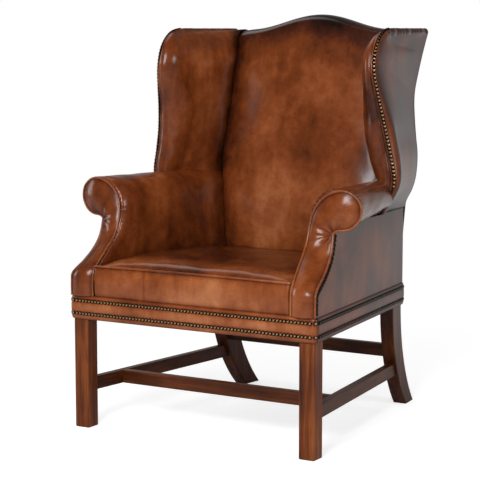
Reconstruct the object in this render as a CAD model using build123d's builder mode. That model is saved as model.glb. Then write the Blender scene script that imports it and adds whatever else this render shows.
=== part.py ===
"""Leather wing armchair with scroll arms and a camel-back crest, in millimetres.

The chair faces -Y, +Z is up, and the origin is on the floor under the middle of the chair.
Right-hand pieces (+X) are modelled and their left-hand twins are mirrored across the YZ plane.
"""

from math import cos, pi, radians, sin, sqrt, tan
import os

from build123d import *

# Stance
overall_depth = 776.0  # front of the seat band to the heels of the rear feet
front_half = 367.0  # centre line to the outer side of a front leg
rear_half = 292.0  # centre line to the outer side of a rear leg
frame_depth = 653.0  # front of the front legs to the back of the rear legs, at the rails
leg_clear = 300.0  # floor to the underside of the seat rails

# Heights, each stacked on the one before
rail_height = 60.0
border_height = 84.0  # seat rail to the front edge of the seat
arm_rise = 227.0  # seat edge to the top of the arm rolls
wing_rise = 626.0  # seat edge to the top of the wings
camel_rise = 42.0  # wings to the peak of the crest

# Legs and stretchers
leg_section = 45.0
leg_ease = 4.0  # rounding of the front legs' edges
rear_leg_width = 40.0
rear_leg_depth = 70.0  # at the seat rails
rear_foot_depth = 64.0
rear_leg_ease = 3.0
post_depth = 48.0  # top of the back posts
post_drop = 42.0  # wing top to the top of the back posts
stretcher_thickness = 22.0
stretcher_height = 36.0
stretcher_low = 96.0  # floor to the side and cross stretchers
stretcher_inset = 7.0  # outer side of the legs to the side stretchers
stretcher_ease = 2.0
cross_setback = 160.0  # front of the legs to the cross stretcher
rear_stretcher_low = 148.0
rear_stretcher_setback = 18.0  # front of the rear legs to the rear stretcher
stretcher_tenon = 12.0  # thickness of the stretchers' tenons
cross_tenon_length = 10.0

# Seat frame
rail_thickness = 28.0
tenon_thickness = 10.0
tenon_length = 20.0
tenon_height = 28.0
tenon_rise = 8.0  # underside of a rail to its tenon
glue_gap = 0.2  # clearance round a tenon
block_leg = 92.0  # short sides of the corner blocks
block_drop = 6.0  # top of the rails to the top of the blocks
block_height = 40.0
screw_radius = 2.5
screw_head_radius = 5.0
screw_head_height = 3.0
screw_length = 60.0

# Arm and wing frame
frame_board = 26.0
stump_depth = 46.0
stump_tenon_depth = 16.0
stump_tenon_length = 22.0
arm_rail_height = 40.0
wing_board = 24.0
wing_skin = 10.0  # padding outside the wing boards
wing_post_depth = 44.0
wing_edge_cover = 24.0  # padding in front of the wing posts
wing_rail_height = 30.0
wing_rail_drop = 76.0  # wing top to the underside of the wing rails
back_rail_thickness = 28.0
lower_rail_height = 46.0
crest_height = 104.0
crest_cover = 20.0  # padding over the crest rail

# Back
back_rake = 10.6  # lean of the outside back, degrees
rake_rise = 56.0  # seat edge to where the lean starts
back_half = 250.0  # centre line to the edge of the inside back
back_foot_cover = 50.0  # padding in front of the back posts at the seat
back_head_cover = 24.0  # padding in front of the back posts at the wing top
back_crown = 30.0  # swell of the middle of the inside back
back_head_share = 0.8  # part of that swell left at the top
back_draw = 14.0  # how far the edges of the inside back are drawn in
back_lip = 70.0  # padding turned down behind the crest
crest_roll = 30.0  # height of the rounding over the crest
camel_half = 215.0  # centre line to the foot of the crest's hump

# Seat
seat_crown = 30.0
seat_lead = 0.6  # below 1, the seat is fullest ahead of its middle
seat_front_drop = 6.0  # seat edge to the front edge of the pad
seat_rear_drop = 8.0  # seat edge to the rear edge of the pad
border_depth = 18.0
border_swell = 4.0
spring_count = 5
spring_pitch = 90.0  # from spring to spring
spring_wire = 4.0
spring_wave = 25.0  # from bend to bend along a spring
spring_half = 28.0  # centre line of a spring to its bends
spring_lead = 24.0  # straight ends
clip_width = 16.0
clip_length = 12.0
clip_cap = 2.0
canvas_thickness = 2.0

# Arms
arm_thickness = 66.0  # line of the seat frame to the inside arm
roll_radius_front = 50.0
roll_radius_rear = 40.0
roll_reach_front = 75.0  # line of the seat frame to the outside of the roll
roll_reach_rear = 54.0
neck_drop = 101.0  # arm top to the underside of the roll
knee_rise = 66.0  # seat rail to the knee of the arm fronts
sweep_depth = 126.0  # knee back to the scroll, along a hollow sweep
sweep_height = 194.0  # knee up to where the sweep stands upright
arm_front_depth = 16.0
wing_foot = 20.0  # depth at which the wing rises from the arm

# Wings: share of the wing's height, flare of its front and rear edges outside the line of the seat
# frame, and how far its front edge stands behind the wing's foot
wing_stations = (
    (0.00, 12.0, 3.0, 0.0),
    (0.11, 48.0, 17.0, 0.0),
    (0.19, 62.0, 27.0, 0.0),
    (0.31, 54.0, 31.0, 3.0),
    (0.43, 40.0, 25.0, 3.0),
    (0.55, 30.0, 16.0, -4.0),
    (0.72, 20.0, 13.0, -22.0),
    (0.82, 19.0, 20.0, -31.0),
    (0.91, 21.0, 30.0, -10.0),
    (0.965, 22.0, 36.0, 28.0),
    (1.00, 14.0, 30.0, 76.0),
)
wing_thickness = 44.0
wing_top_thickness = 26.0
wing_nose = 20.0  # depth of the rounded front edge

# Leather panels and linings
band_thickness = 5.0
band_swell = 2.5
band_drop = 2.0  # below the seat rails
panel_thickness = 3.0
cloth_thickness = 1.5
web_width = 50.0
web_thickness = 2.0
web_columns = 3
web_rows = 4
web_lap = 10.0  # webbing fixed on the back posts
ease = 0.3  # clearance between soft pieces

# Levels and lines worked out from the sizes above
rail_top = leg_clear + rail_height
seat_edge = rail_top + border_height
arm_top = seat_edge + arm_rise
arm_neck = arm_top - neck_drop
wing_top = seat_edge + wing_rise
crest_top = wing_top + camel_rise
post_top = wing_top - post_drop
rake_start = seat_edge + rake_rise
front = -overall_depth / 2
heel = overall_depth / 2
toe = heel - rear_foot_depth
frame_front = front + band_thickness
frame_rear = frame_front + frame_depth
leg_rear = frame_front + leg_section
rear_leg_front = frame_rear - rear_leg_depth
arm_face = frame_front - panel_thickness
scroll_face = arm_face + sweep_depth
sweep_level = rail_top + knee_rise + sweep_height
sweep_radius = (sweep_depth**2 + sweep_height**2) / (2 * sweep_depth)
back_foot = seat_edge
webbing_depth = 2 * web_thickness
canvas_top = rail_top + spring_wire + clip_cap + canvas_thickness
reach = front_half + roll_reach_front + rear_half  # beyond every piece, for cuts


def seat_half(y):
    """Half width of the tapered seat frame at depth y."""
    return front_half - (front_half - rear_half) * (y - frame_front) / frame_depth


def back_face(z):
    """Depth of the rear side of the back posts at height z: upright, then leaning."""
    return frame_rear + max(0.0, z - rake_start) * tan(radians(back_rake))


def post_front(z):
    """Depth of the front side of the back posts at height z."""
    top_depth = back_face(post_top) - post_depth
    return rear_leg_front + (top_depth - rear_leg_front) * (z - rail_top) / (post_top - rail_top)


def rear_leg_edge(z):
    """Depth of the front side of the swept rear leg at height z, on its arc."""
    sweep = toe - rear_leg_front
    radius = (leg_clear**2 + sweep**2) / (2 * sweep)
    return rear_leg_front + radius - sqrt(radius**2 - (leg_clear - z) ** 2)


def crest_line(x):
    """Height of the top of the back at x: a cosine hump between level shoulders."""
    hump = (1 + cos(pi * x / camel_half)) / 2 if abs(x) < camel_half else 0.0
    return wing_top + camel_rise * hump


def along_arm(front_value, rear_value, y):
    """A size that changes evenly along the arm, from its scroll to the wing."""
    return front_value + (rear_value - front_value) * (y - scroll_face) / (wing_foot - scroll_face)


def side_strip(outer, inner, y_from, y_to):
    """Plan outline between two lines beside the tapered seat frame."""
    return Polygon(
        (seat_half(y_from) + outer, y_from),
        (seat_half(y_to) + outer, y_to),
        (seat_half(y_to) + inner, y_to),
        (seat_half(y_from) + inner, y_from),
        align=None,
    )


def side_bar(outer, inner, y_from, y_to, z_from, z_to, mode=Mode.ADD):
    """Board beside the tapered seat frame."""
    with BuildSketch(Plane.XY.offset(z_from)) as outline:
        side_strip(outer, inner, y_from, y_to)
    extrude(outline.sketch, amount=z_to - z_from, mode=mode)


def cross_bar(inner, y_from, y_to, z_from, z_to, mode=Mode.ADD):
    """Board across the chair, its ends cut to the taper of the seat frame."""
    with BuildSketch(Plane.XY.offset(z_from)) as outline:
        Polygon(
            (seat_half(y_from) + inner, y_from),
            (seat_half(y_to) + inner, y_to),
            (-seat_half(y_to) - inner, y_to),
            (-seat_half(y_from) - inner, y_from),
            align=None,
        )
    extrude(outline.sketch, amount=z_to - z_from, mode=mode)


def square_bar(x_from, x_to, y_from, y_to, z_from, z_to, mode=Mode.ADD):
    """Square bar between two corners."""
    with BuildSketch(Plane.XY.offset(z_from)) as outline:
        with Locations(((x_from + x_to) / 2, (y_from + y_to) / 2)):
            Rectangle(x_to - x_from, y_to - y_from)
    extrude(outline.sketch, amount=z_to - z_from, mode=mode)


def raked_slab(near, far, z_from, z_to, mode=Mode.ADD):
    """Slab that leans with the front of the back posts, between two depths from it."""
    with BuildSketch(Plane.YZ) as outline:
        Polygon(
            (post_front(z_from) + near, z_from),
            (post_front(z_from) + far, z_from),
            (post_front(z_to) + far, z_to),
            (post_front(z_to) + near, z_to),
            align=None,
        )
    extrude(outline.sketch, amount=reach, both=True, mode=mode)


def block_corners(rail_side, sense):
    """Plan corners of a corner block: the frame's corner, along the cross rail, along the side rail."""
    corner = seat_half(rail_side) - rail_thickness
    far = rail_side + sense * block_leg
    return (corner, rail_side), (corner - block_leg, rail_side), (seat_half(far) - rail_thickness, far)


def screw_plane(rail_side, sense):
    """Plane on the long side of a corner block, facing the leg."""
    _, a, b = block_corners(rail_side, sense)
    middle = ((a[0] + b[0]) / 2, (a[1] + b[1]) / 2, block_low + block_height / 2)
    return Plane(origin=middle, z_dir=(sense * (b[1] - a[1]), sense * (a[0] - b[0]), 0))


def screw_bore(rail_side, sense):
    """Hole for the screw that holds a corner block to its leg."""
    with BuildSketch(screw_plane(rail_side, sense)) as outline:
        Circle(screw_radius + glue_gap)
    extrude(outline.sketch, amount=screw_length + glue_gap, mode=Mode.SUBTRACT)


def screw(rail_side, sense):
    """Round-headed wood screw, its head on the long side of the block."""
    with BuildSketch(screw_plane(rail_side, sense)) as shank:
        Circle(screw_radius)
    extrude(shank.sketch, amount=screw_length)
    with BuildSketch(screw_plane(rail_side, sense)) as head:
        Circle(screw_head_radius)
    extrude(head.sketch, amount=-screw_head_height)


def sweep_foot(depth):
    """Height at which the hollow sweep, this deep behind the arm front, meets its upright part."""
    radius = sweep_radius + depth
    return sweep_level - sqrt(radius**2 - (radius - sweep_depth) ** 2)


def camel_points(drop):
    """Points on the hump of the crest, this far below its top."""
    steps = 6
    places = [camel_half * (2 * i / steps - 1) for i in range(steps + 1)]
    return [(x, crest_line(x) - drop) for x in places]


def zigzag(y_from, y_to, bends, step):
    """Plan of one zigzag spring: straight leads, cross runs and the bends that join them."""
    with BuildSketch(mode=Mode.PRIVATE) as outline:
        lead = spring_lead + spring_wire / 2
        with Locations((0, y_from + lead / 2), (0, y_to - lead / 2)):
            Rectangle(spring_wire, lead)
        for i in range(bends + 1):
            at = y_from + spring_lead + i * step
            with Locations((0, at)):
                Rectangle(2 * spring_half + spring_wire, spring_wire)
            if i < bends:
                with Locations((spring_half * (-1) ** i, at + step / 2)):
                    Rectangle(spring_wire, step)
    return outline.sketch


def arm_section(y, board):
    """Section of the arm at depth y: inside face, shoulder, roll and neck.

    Below the neck the frame boards are left out by their thickness.
    """
    outer = seat_half(y)
    inner = outer - arm_thickness
    radius = along_arm(roll_radius_front, roll_radius_rear, y)
    middle = outer + along_arm(roll_reach_front, roll_reach_rear, y) - radius
    shoulder = arm_top - (middle - inner)
    with BuildSketch(Plane.XZ.offset(-y)) as section:
        with BuildLine():
            Line((inner, rail_top), (inner, shoulder))
            TangentArc((inner, shoulder), (middle, arm_top), tangent=(0, 1))
            TangentArc((middle, arm_top), (middle + radius, arm_top - radius), tangent=(1, 0))
            TangentArc(
                (middle + radius, arm_top - radius), (middle, arm_top - 2 * radius), tangent=(0, -1)
            )
            below = [(middle, arm_top - 2 * radius), (outer, arm_neck)]
            if board:
                below.append((outer - board, arm_neck))
            Polyline(*below, (outer - board, rail_top), (inner, rail_top))
        make_face()
    return section.sketch


def wing_level(share):
    """Height at a share of the wing's height."""
    return arm_neck + share * (wing_top - arm_neck)


def at_station(z, column):
    """Value of one column of the wing's stations at height z, evenly between stations."""
    share = (z - arm_neck) / (wing_top - arm_neck)
    below = max(s for s in wing_stations[:-1] if s[0] <= max(share, 0))
    above = min(s for s in wing_stations if s[0] > below[0])
    mix = (share - below[0]) / (above[0] - below[0])
    return below[column] + (above[column] - below[column]) * mix


def wing_edge(z):
    """Depth of the wing's front edge at height z."""
    return wing_foot + at_station(z, 3)


def wing_rear_half(z):
    """Half width of the chair at the wing's rear edge, at height z."""
    return seat_half(back_face(z)) + at_station(z, 2) + panel_thickness


def wing_section(share, front_flare, rear_flare, set_back):
    """Level section of the padded wing: rounded nose, outer side, rear end and inner side."""
    z = wing_level(share)
    tip = wing_foot + set_back
    rear = back_face(z)
    thickness = wing_thickness if share < 1 else wing_top_thickness
    outer = seat_half(tip) + front_flare
    inner = outer - thickness
    with BuildSketch(Plane.XY.offset(z)) as section:
        with BuildLine():
            ThreePointArc(
                (inner, tip + wing_nose), ((outer + inner) / 2, tip), (outer, tip + wing_nose)
            )
            Polyline(
                (outer, tip + wing_nose),
                (seat_half(rear) + rear_flare, rear),
                (back_half - back_draw, rear),
                (back_half - back_draw, post_front(z) - back_head_cover),
                (inner, tip + wing_nose),
            )
        make_face()
    return section.sketch


def wing_outer(share, front_flare, rear_flare, set_back, y):
    """Outer side of the wing at depth y of a station: straight from its nose to its rear edge."""
    tip = wing_foot + set_back
    rear = back_face(wing_level(share))
    nose = seat_half(tip) + front_flare
    mix = (y - tip - wing_nose) / (rear - tip - wing_nose)
    return nose + (seat_half(rear) + rear_flare - nose) * mix


def wing_post_section(*station):
    """Level section of the sawn post inside the wing's front edge."""
    share, _, _, set_back = station
    edge = wing_foot + set_back + wing_edge_cover
    outer = wing_outer(*station, edge) - wing_skin
    heel_side = wing_outer(*station, edge + wing_post_depth) - wing_skin
    with BuildSketch(Plane.XY.offset(wing_level(share))) as section:
        Polygon(
            (outer, edge),
            (heel_side, edge + wing_post_depth),
            (heel_side - wing_board, edge + wing_post_depth),
            (outer - wing_board, edge),
            align=None,
        )
    return section.sketch


def wing_panel_section(*station):
    """Level section of the leather panel over the outer side of the wing, let into the padding."""
    share, _, _, set_back = station
    z = wing_level(share)
    edge = wing_foot + set_back + wing_nose
    outer = wing_outer(*station, edge)
    rear_outer = wing_outer(*station, back_face(z))
    with BuildSketch(Plane.XY.offset(z)) as section:
        Polygon(
            (outer - panel_thickness, edge),
            (outer + panel_thickness, edge),
            (rear_outer + panel_thickness, back_face(z)),
            (rear_outer - panel_thickness, back_face(z)),
            align=None,
        )
    return section.sketch


band_low = leg_clear - band_drop
block_low = rail_top - block_drop - block_height
stump_foot_depth = stump_depth + arm_front_depth
crest_half = rear_half - rear_leg_width / 2
crest_low = wing_top - crest_height
web_half = rear_half - rear_leg_width + web_lap
lower_rail_low = seat_edge + border_swell
seat_pad_front = arm_face + border_depth + ease
seat_shares = (0.0, 0.06, 0.2, 0.5, 0.85, 1.0)
back_shares = (-1.0, -0.8, -0.4, 0.0, 0.4, 0.8, 1.0)
rear_levels = [wing_level(share) for share in (0.0, 0.19, 0.31, 0.55, 0.72, 0.91, 0.965)]


# Legs and stretchers
tenon_low = leg_clear + tenon_rise
tenon_top = tenon_low + tenon_height
tenon_side = (rail_thickness - tenon_thickness) / 2
stretcher_top = stretcher_low + stretcher_height
stretcher_outer = -stretcher_inset
stretcher_inner = stretcher_outer - stretcher_thickness
stretcher_shoulder = (stretcher_thickness - stretcher_tenon) / 2
stretcher_tenon_low = stretcher_low + stretcher_shoulder
stretcher_tenon_top = stretcher_top - stretcher_shoulder
stretcher_end = rear_leg_edge(stretcher_low) + tenon_length
cross_front = frame_front + cross_setback
cross_rear = cross_front + stretcher_thickness
rear_stretcher_front = rear_leg_edge(rear_stretcher_low) + rear_stretcher_setback
rear_stretcher_rear = rear_stretcher_front + stretcher_thickness
rear_stretcher_top = rear_stretcher_low + stretcher_height
front_rail_rear = frame_front + rail_thickness
rear_rail_front = frame_rear - rail_thickness
leg_tenon = tenon_length - rear_leg_width  # end of a cross tenon, from the line of the seat frame
stump_front = arm_face + arm_front_depth
stump_tenon_front = (stump_front + leg_rear - stump_tenon_length) / 2
stump_side = (frame_board - stretcher_tenon) / 2

with BuildPart() as front_leg_right:
    with BuildSketch():
        with Locations((front_half - leg_section / 2, frame_front + leg_section / 2)):
            Rectangle(leg_section, leg_section)
    extrude(amount=rail_top)
    fillet(edges().filter_by(Axis.Z) + faces().sort_by(Axis.Z)[0].edges(), leg_ease)
    # The top block follows the taper of the seat frame
    side_bar(leg_section, 0, frame_front, leg_rear, band_low, rail_top, Mode.SUBTRACT)
    # Mortises for the front rail, side rail, side stretcher and arm stump
    square_bar(
        front_half - leg_section - tenon_length,
        front_half - leg_section + tenon_length + glue_gap,
        frame_front + tenon_side - glue_gap,
        front_rail_rear - tenon_side + glue_gap,
        tenon_low - glue_gap,
        tenon_top + glue_gap,
        Mode.SUBTRACT,
    )
    side_bar(
        glue_gap - tenon_side,
        tenon_side - rail_thickness - glue_gap,
        leg_rear - tenon_length - glue_gap,
        leg_rear + tenon_length,
        tenon_low - glue_gap,
        tenon_top + glue_gap,
        Mode.SUBTRACT,
    )
    side_bar(
        stretcher_outer - stretcher_shoulder + glue_gap,
        stretcher_inner + stretcher_shoulder - glue_gap,
        leg_rear - tenon_length - glue_gap,
        leg_rear + tenon_length,
        stretcher_tenon_low - glue_gap,
        stretcher_tenon_top + glue_gap,
        Mode.SUBTRACT,
    )
    side_bar(
        glue_gap - stump_side,
        stump_side - frame_board - glue_gap,
        stump_tenon_front - glue_gap,
        stump_tenon_front + stump_tenon_length + glue_gap,
        rail_top - stump_tenon_depth - glue_gap,
        rail_top + stump_tenon_depth,
        Mode.SUBTRACT,
    )
    screw_bore(front_rail_rear, 1)

# Rear leg and back post, sawn from one board, before its mortises are cut
with BuildPart() as rear_leg_board:
    with BuildSketch(Plane.YZ):
        with BuildLine():
            TangentArc((frame_rear, leg_clear), (heel, 0), tangent=(0, -1))
            Line((heel, 0), (toe, 0))
            TangentArc((rear_leg_front, leg_clear), (toe, 0), tangent=(0, -1))
            Polyline(
                (rear_leg_front, leg_clear),
                (rear_leg_front, rail_top),
                (post_front(post_top), post_top),
                (back_face(post_top), post_top),
                (frame_rear, rake_start),
                (frame_rear, leg_clear),
            )
        make_face()
    extrude(amount=reach)
    side_bar(0, -rear_leg_width, rear_leg_front - reach, heel + reach, 0, post_top, Mode.INTERSECT)
    sweep_edges = edges().filter_by(lambda e: leg_clear / 4 < e.center().Z < leg_clear * 3 / 4)
    fillet(sweep_edges, rear_leg_ease)

with BuildPart() as side_stretcher_right:
    side_bar(stretcher_outer, stretcher_inner, leg_rear, stretcher_end, stretcher_low, stretcher_top)
    fillet(edges().filter_by(lambda e: e.length > sweep_depth), stretcher_ease)
    add(rear_leg_board.part, mode=Mode.SUBTRACT)
    side_bar(
        stretcher_outer - stretcher_shoulder,
        stretcher_inner + stretcher_shoulder,
        leg_rear - tenon_length,
        stretcher_end,
        stretcher_tenon_low,
        stretcher_tenon_top,
    )
    # Mortise for the cross stretcher
    cross_bar(
        stretcher_inner + cross_tenon_length + glue_gap,
        cross_front + stretcher_shoulder - glue_gap,
        cross_rear - stretcher_shoulder + glue_gap,
        stretcher_tenon_low - glue_gap,
        stretcher_tenon_top + glue_gap,
        Mode.SUBTRACT,
    )

with BuildPart() as cross_stretcher:
    cross_bar(stretcher_inner, cross_front, cross_rear, stretcher_low, stretcher_top)
    fillet(edges().filter_by(lambda e: e.length > sweep_depth), stretcher_ease)
    cross_bar(
        stretcher_inner + cross_tenon_length,
        cross_front + stretcher_shoulder,
        cross_rear - stretcher_shoulder,
        stretcher_tenon_low,
        stretcher_tenon_top,
    )

with BuildPart() as rear_stretcher:
    cross_bar(
        -rear_leg_width,
        rear_stretcher_front,
        rear_stretcher_rear,
        rear_stretcher_low,
        rear_stretcher_top,
    )
    fillet(edges().filter_by(lambda e: e.length > sweep_depth), stretcher_ease)
    cross_bar(
        leg_tenon,
        rear_stretcher_front + stretcher_shoulder,
        rear_stretcher_rear - stretcher_shoulder,
        rear_stretcher_low + stretcher_shoulder,
        rear_stretcher_top - stretcher_shoulder,
    )

with BuildPart() as rear_leg_right:
    add(rear_leg_board.part)
    # Mortises for the side rail, side stretcher, rear rail and rear stretcher
    side_bar(
        glue_gap - tenon_side,
        tenon_side - rail_thickness - glue_gap,
        rear_leg_front - tenon_length,
        rear_leg_front + tenon_length + glue_gap,
        tenon_low - glue_gap,
        tenon_top + glue_gap,
        Mode.SUBTRACT,
    )
    side_bar(
        stretcher_outer - stretcher_shoulder + glue_gap,
        stretcher_inner + stretcher_shoulder - glue_gap,
        leg_rear,
        stretcher_end + glue_gap,
        stretcher_tenon_low - glue_gap,
        stretcher_tenon_top + glue_gap,
        Mode.SUBTRACT,
    )
    cross_bar(
        leg_tenon + glue_gap,
        rear_rail_front + tenon_side - glue_gap,
        frame_rear - tenon_side + glue_gap,
        tenon_low - glue_gap,
        tenon_top + glue_gap,
        Mode.SUBTRACT,
    )
    cross_bar(
        leg_tenon + glue_gap,
        rear_stretcher_front + stretcher_shoulder - glue_gap,
        rear_stretcher_rear - stretcher_shoulder + glue_gap,
        rear_stretcher_low + stretcher_shoulder - glue_gap,
        rear_stretcher_top - stretcher_shoulder + glue_gap,
        Mode.SUBTRACT,
    )
    screw_bore(rear_rail_front, -1)

with BuildPart() as rear_leg_left:
    mirror(rear_leg_right.part, about=Plane.YZ)

# Seat frame
with BuildPart() as front_seat_rail:
    square_bar(
        leg_section - front_half,
        front_half - leg_section,
        frame_front,
        front_rail_rear,
        leg_clear,
        rail_top,
    )
    square_bar(
        leg_section - front_half - tenon_length,
        front_half - leg_section + tenon_length,
        frame_front + tenon_side,
        front_rail_rear - tenon_side,
        tenon_low,
        tenon_top,
    )

with BuildPart() as rear_seat_rail:
    cross_bar(-rear_leg_width, rear_rail_front, frame_rear, leg_clear, rail_top)
    cross_bar(
        leg_tenon,
        rear_rail_front + tenon_side,
        frame_rear - tenon_side,
        tenon_low,
        tenon_top,
    )

with BuildPart() as side_seat_rail_right:
    side_bar(0, -rail_thickness, leg_rear, rear_leg_front, leg_clear, rail_top)
    side_bar(
        -tenon_side,
        tenon_side - rail_thickness,
        leg_rear - tenon_length,
        rear_leg_front + tenon_length,
        tenon_low,
        tenon_top,
    )

with BuildPart() as front_block:
    with BuildSketch(Plane.XY.offset(block_low)):
        Polygon(*block_corners(front_rail_rear, 1), align=None)
    extrude(amount=block_height)
    add(front_leg_right.part, mode=Mode.SUBTRACT)
    screw_bore(front_rail_rear, 1)

with BuildPart() as rear_block:
    with BuildSketch(Plane.XY.offset(block_low)):
        Polygon(*block_corners(rear_rail_front, -1), align=None)
    extrude(amount=block_height)
    add(rear_leg_right.part, mode=Mode.SUBTRACT)
    screw_bore(rear_rail_front, -1)

with BuildPart() as corner_blocks:
    add(front_block.part)
    add(rear_block.part)
    mirror(corner_blocks.part, about=Plane.YZ)

with BuildPart() as corner_block_screws:
    screw(front_rail_rear, 1)
    screw(rear_rail_front, -1)
    mirror(corner_block_screws.part, about=Plane.YZ)

# Arm and wing frame
with BuildPart() as arm_stump_right:
    with BuildSketch(Plane.YZ):
        with BuildLine():
            TangentArc(
                (scroll_face + arm_front_depth, sweep_level),
                (stump_front, sweep_foot(arm_front_depth)),
                tangent=(0, -1),
            )
            Polyline(
                (stump_front, sweep_foot(arm_front_depth)),
                (stump_front, rail_top),
                (stump_front + stump_foot_depth, rail_top),
                (scroll_face + arm_front_depth + stump_depth, arm_neck),
                (scroll_face + arm_front_depth + stump_depth, sweep_level),
                (scroll_face + arm_front_depth, sweep_level),
            )
        make_face()
    extrude(amount=reach)
    side_bar(0, -frame_board, front, frame_rear, rail_top, arm_neck, Mode.INTERSECT)
    side_bar(
        -stump_side,
        stump_side - frame_board,
        stump_tenon_front,
        stump_tenon_front + stump_tenon_length,
        rail_top - stump_tenon_depth,
        rail_top,
    )

with BuildPart() as arm_rail_right:
    side_bar(
        0,
        -frame_board,
        scroll_face + arm_front_depth + stump_depth / 2,
        post_front(arm_neck) + post_depth / 2,
        arm_neck - arm_rail_height,
        arm_neck,
    )
    add(arm_stump_right.part, mode=Mode.SUBTRACT)
    add(rear_leg_right.part, mode=Mode.SUBTRACT)

wing_rail_low = wing_top - wing_rail_drop
wing_rail_top = wing_rail_low + wing_rail_height
wing_rail_outer = at_station(wing_rail_low, 1) - wing_skin

with BuildPart() as wing_post_right:
    for station in wing_stations:
        if wing_level(station[0]) < wing_rail_top:
            add(wing_post_section(*station))
    loft()

with BuildPart() as wing_rail_right:
    side_bar(
        wing_rail_outer,
        wing_rail_outer - wing_board,
        wing_edge(wing_rail_top) + wing_edge_cover + wing_post_depth / 2,
        post_front(wing_rail_low),
        wing_rail_low,
        wing_rail_top,
    )
    add(wing_post_right.part, mode=Mode.SUBTRACT)
    add(rear_leg_right.part, mode=Mode.SUBTRACT)

with BuildPart() as crest_rail:
    with BuildSketch(Plane.XZ):
        with BuildLine():
            Spline(*camel_points(crest_cover), tangents=((1, 0), (1, 0)))
            Polyline(
                (-camel_half, wing_top - crest_cover),
                (-crest_half, wing_top - crest_cover),
                (-crest_half, crest_low),
                (crest_half, crest_low),
                (crest_half, wing_top - crest_cover),
                (camel_half, wing_top - crest_cover),
            )
        make_face()
    extrude(amount=reach, both=True)
    raked_slab(0, back_rail_thickness, crest_low, crest_top, Mode.INTERSECT)
    add(rear_leg_right.part, mode=Mode.SUBTRACT)
    add(rear_leg_left.part, mode=Mode.SUBTRACT)

with BuildPart() as lower_back_rail:
    square_bar(
        -crest_half,
        crest_half,
        front,
        heel,
        lower_rail_low,
        lower_rail_low + lower_rail_height,
    )
    raked_slab(
        0,
        back_rail_thickness,
        lower_rail_low,
        lower_rail_low + lower_rail_height,
        Mode.INTERSECT,
    )
    add(rear_leg_right.part, mode=Mode.SUBTRACT)
    add(rear_leg_left.part, mode=Mode.SUBTRACT)

# Suspension and linings
spring_front = front_rail_rear - clip_length
spring_rear = rear_rail_front + clip_length
spring_run = spring_rear - spring_front - 2 * spring_lead
spring_bends = int(spring_run / spring_wave)
spring_step = spring_run / spring_bends
spring_places = [(i - (spring_count - 1) / 2) * spring_pitch for i in range(spring_count)]

with BuildPart() as seat_springs:
    with BuildSketch(Plane.XY.offset(rail_top)):
        with Locations(*[(x, 0) for x in spring_places]):
            add(zigzag(spring_front, spring_rear, spring_bends, spring_step))
    extrude(amount=spring_wire)

with BuildPart() as spring_clips:
    with BuildSketch(Plane.XY.offset(rail_top)):
        with Locations(*[
            (x, y)
            for x in spring_places
            for y in (spring_front + clip_length / 2, spring_rear - clip_length / 2)
        ]):
            Rectangle(clip_width, clip_length)
    extrude(amount=spring_wire + clip_cap)
    add(seat_springs.part, mode=Mode.SUBTRACT)

with BuildPart() as spring_cover:
    cross_bar(
        -arm_thickness - ease,
        arm_face + border_depth + ease,
        spring_rear,
        canvas_top - canvas_thickness,
        canvas_top,
    )

web_low = lower_rail_low + web_width / 2
web_high = wing_top - crest_cover - web_width / 2

with BuildPart() as upright_webs:
    with BuildSketch(Plane.XZ.offset(-rear_leg_front)):
        with Locations((0, (web_low + web_high) / 2)):
            with GridLocations(2 * back_half / (web_columns + 1), 0, web_columns, 1):
                Rectangle(web_width, web_high - web_low)
    extrude(amount=-reach)
    raked_slab(-2 * web_thickness, -web_thickness, rail_top, crest_top, Mode.INTERSECT)

with BuildPart() as back_webbing:
    with BuildSketch(Plane.XZ.offset(-rear_leg_front)):
        with Locations((0, (web_low + web_high) / 2)):
            with GridLocations(0, (web_high - web_low) / (web_rows + 1), 1, web_rows):
                Rectangle(2 * web_half, web_width)
    extrude(amount=-reach)
    raked_slab(-web_thickness, 0, rail_top, crest_top, Mode.INTERSECT)
    add(upright_webs.part)

# Hollow of the back, behind its padding and between the outside back and the posts
with BuildPart() as back_hollow:
    square_bar(-web_half - ease, web_half + ease, front, heel, rail_top, wing_top - back_lip)
    raked_slab(-webbing_depth - ease, reach, rail_top, wing_top - back_lip, Mode.INTERSECT)

with BuildPart() as dust_cover:
    cross_bar(
        -tenon_side,
        frame_front + tenon_side,
        frame_rear - tenon_side,
        leg_clear - cloth_thickness,
        leg_clear,
    )
    for leg in (front_leg_right, rear_leg_right):
        add(leg.part, mode=Mode.SUBTRACT)
        mirror(leg.part, about=Plane.YZ, mode=Mode.SUBTRACT)

# Seat
with BuildPart() as seat_pad:
    for share in seat_shares:
        y = seat_pad_front + (rear_leg_front - seat_pad_front) * share
        half = seat_half(y) - arm_thickness - ease
        edge_level = seat_edge - seat_front_drop + (seat_front_drop - seat_rear_drop) * share
        swell = seat_crown * (1 + 4 * sin(pi * share**seat_lead)) / 5
        with BuildSketch(Plane.XZ.offset(-y)):
            with BuildLine():
                Polyline(
                    (-half, edge_level),
                    (-half, canvas_top),
                    (half, canvas_top),
                    (half, edge_level),
                )
                ThreePointArc((half, edge_level), (0, edge_level + swell), (-half, edge_level))
            make_face()
    loft()

with BuildPart() as seat_border:
    border_half = seat_half(arm_face + border_depth) - arm_thickness - ease
    with BuildSketch(Plane.YZ):
        with BuildLine():
            ThreePointArc(
                (arm_face + border_swell, rail_top),
                (arm_face, rail_top + border_height / 2),
                (arm_face + border_swell, seat_edge - seat_front_drop),
            )
            ThreePointArc(
                (arm_face + border_swell, seat_edge - seat_front_drop),
                (arm_face + (border_swell + border_depth) / 2, seat_edge),
                (arm_face + border_depth, seat_edge - seat_front_drop),
            )
            Polyline(
                (arm_face + border_depth, seat_edge - seat_front_drop),
                (arm_face + border_depth, rail_top),
                (arm_face + border_swell, rail_top),
            )
        make_face()
    extrude(amount=border_half, both=True)

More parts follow.
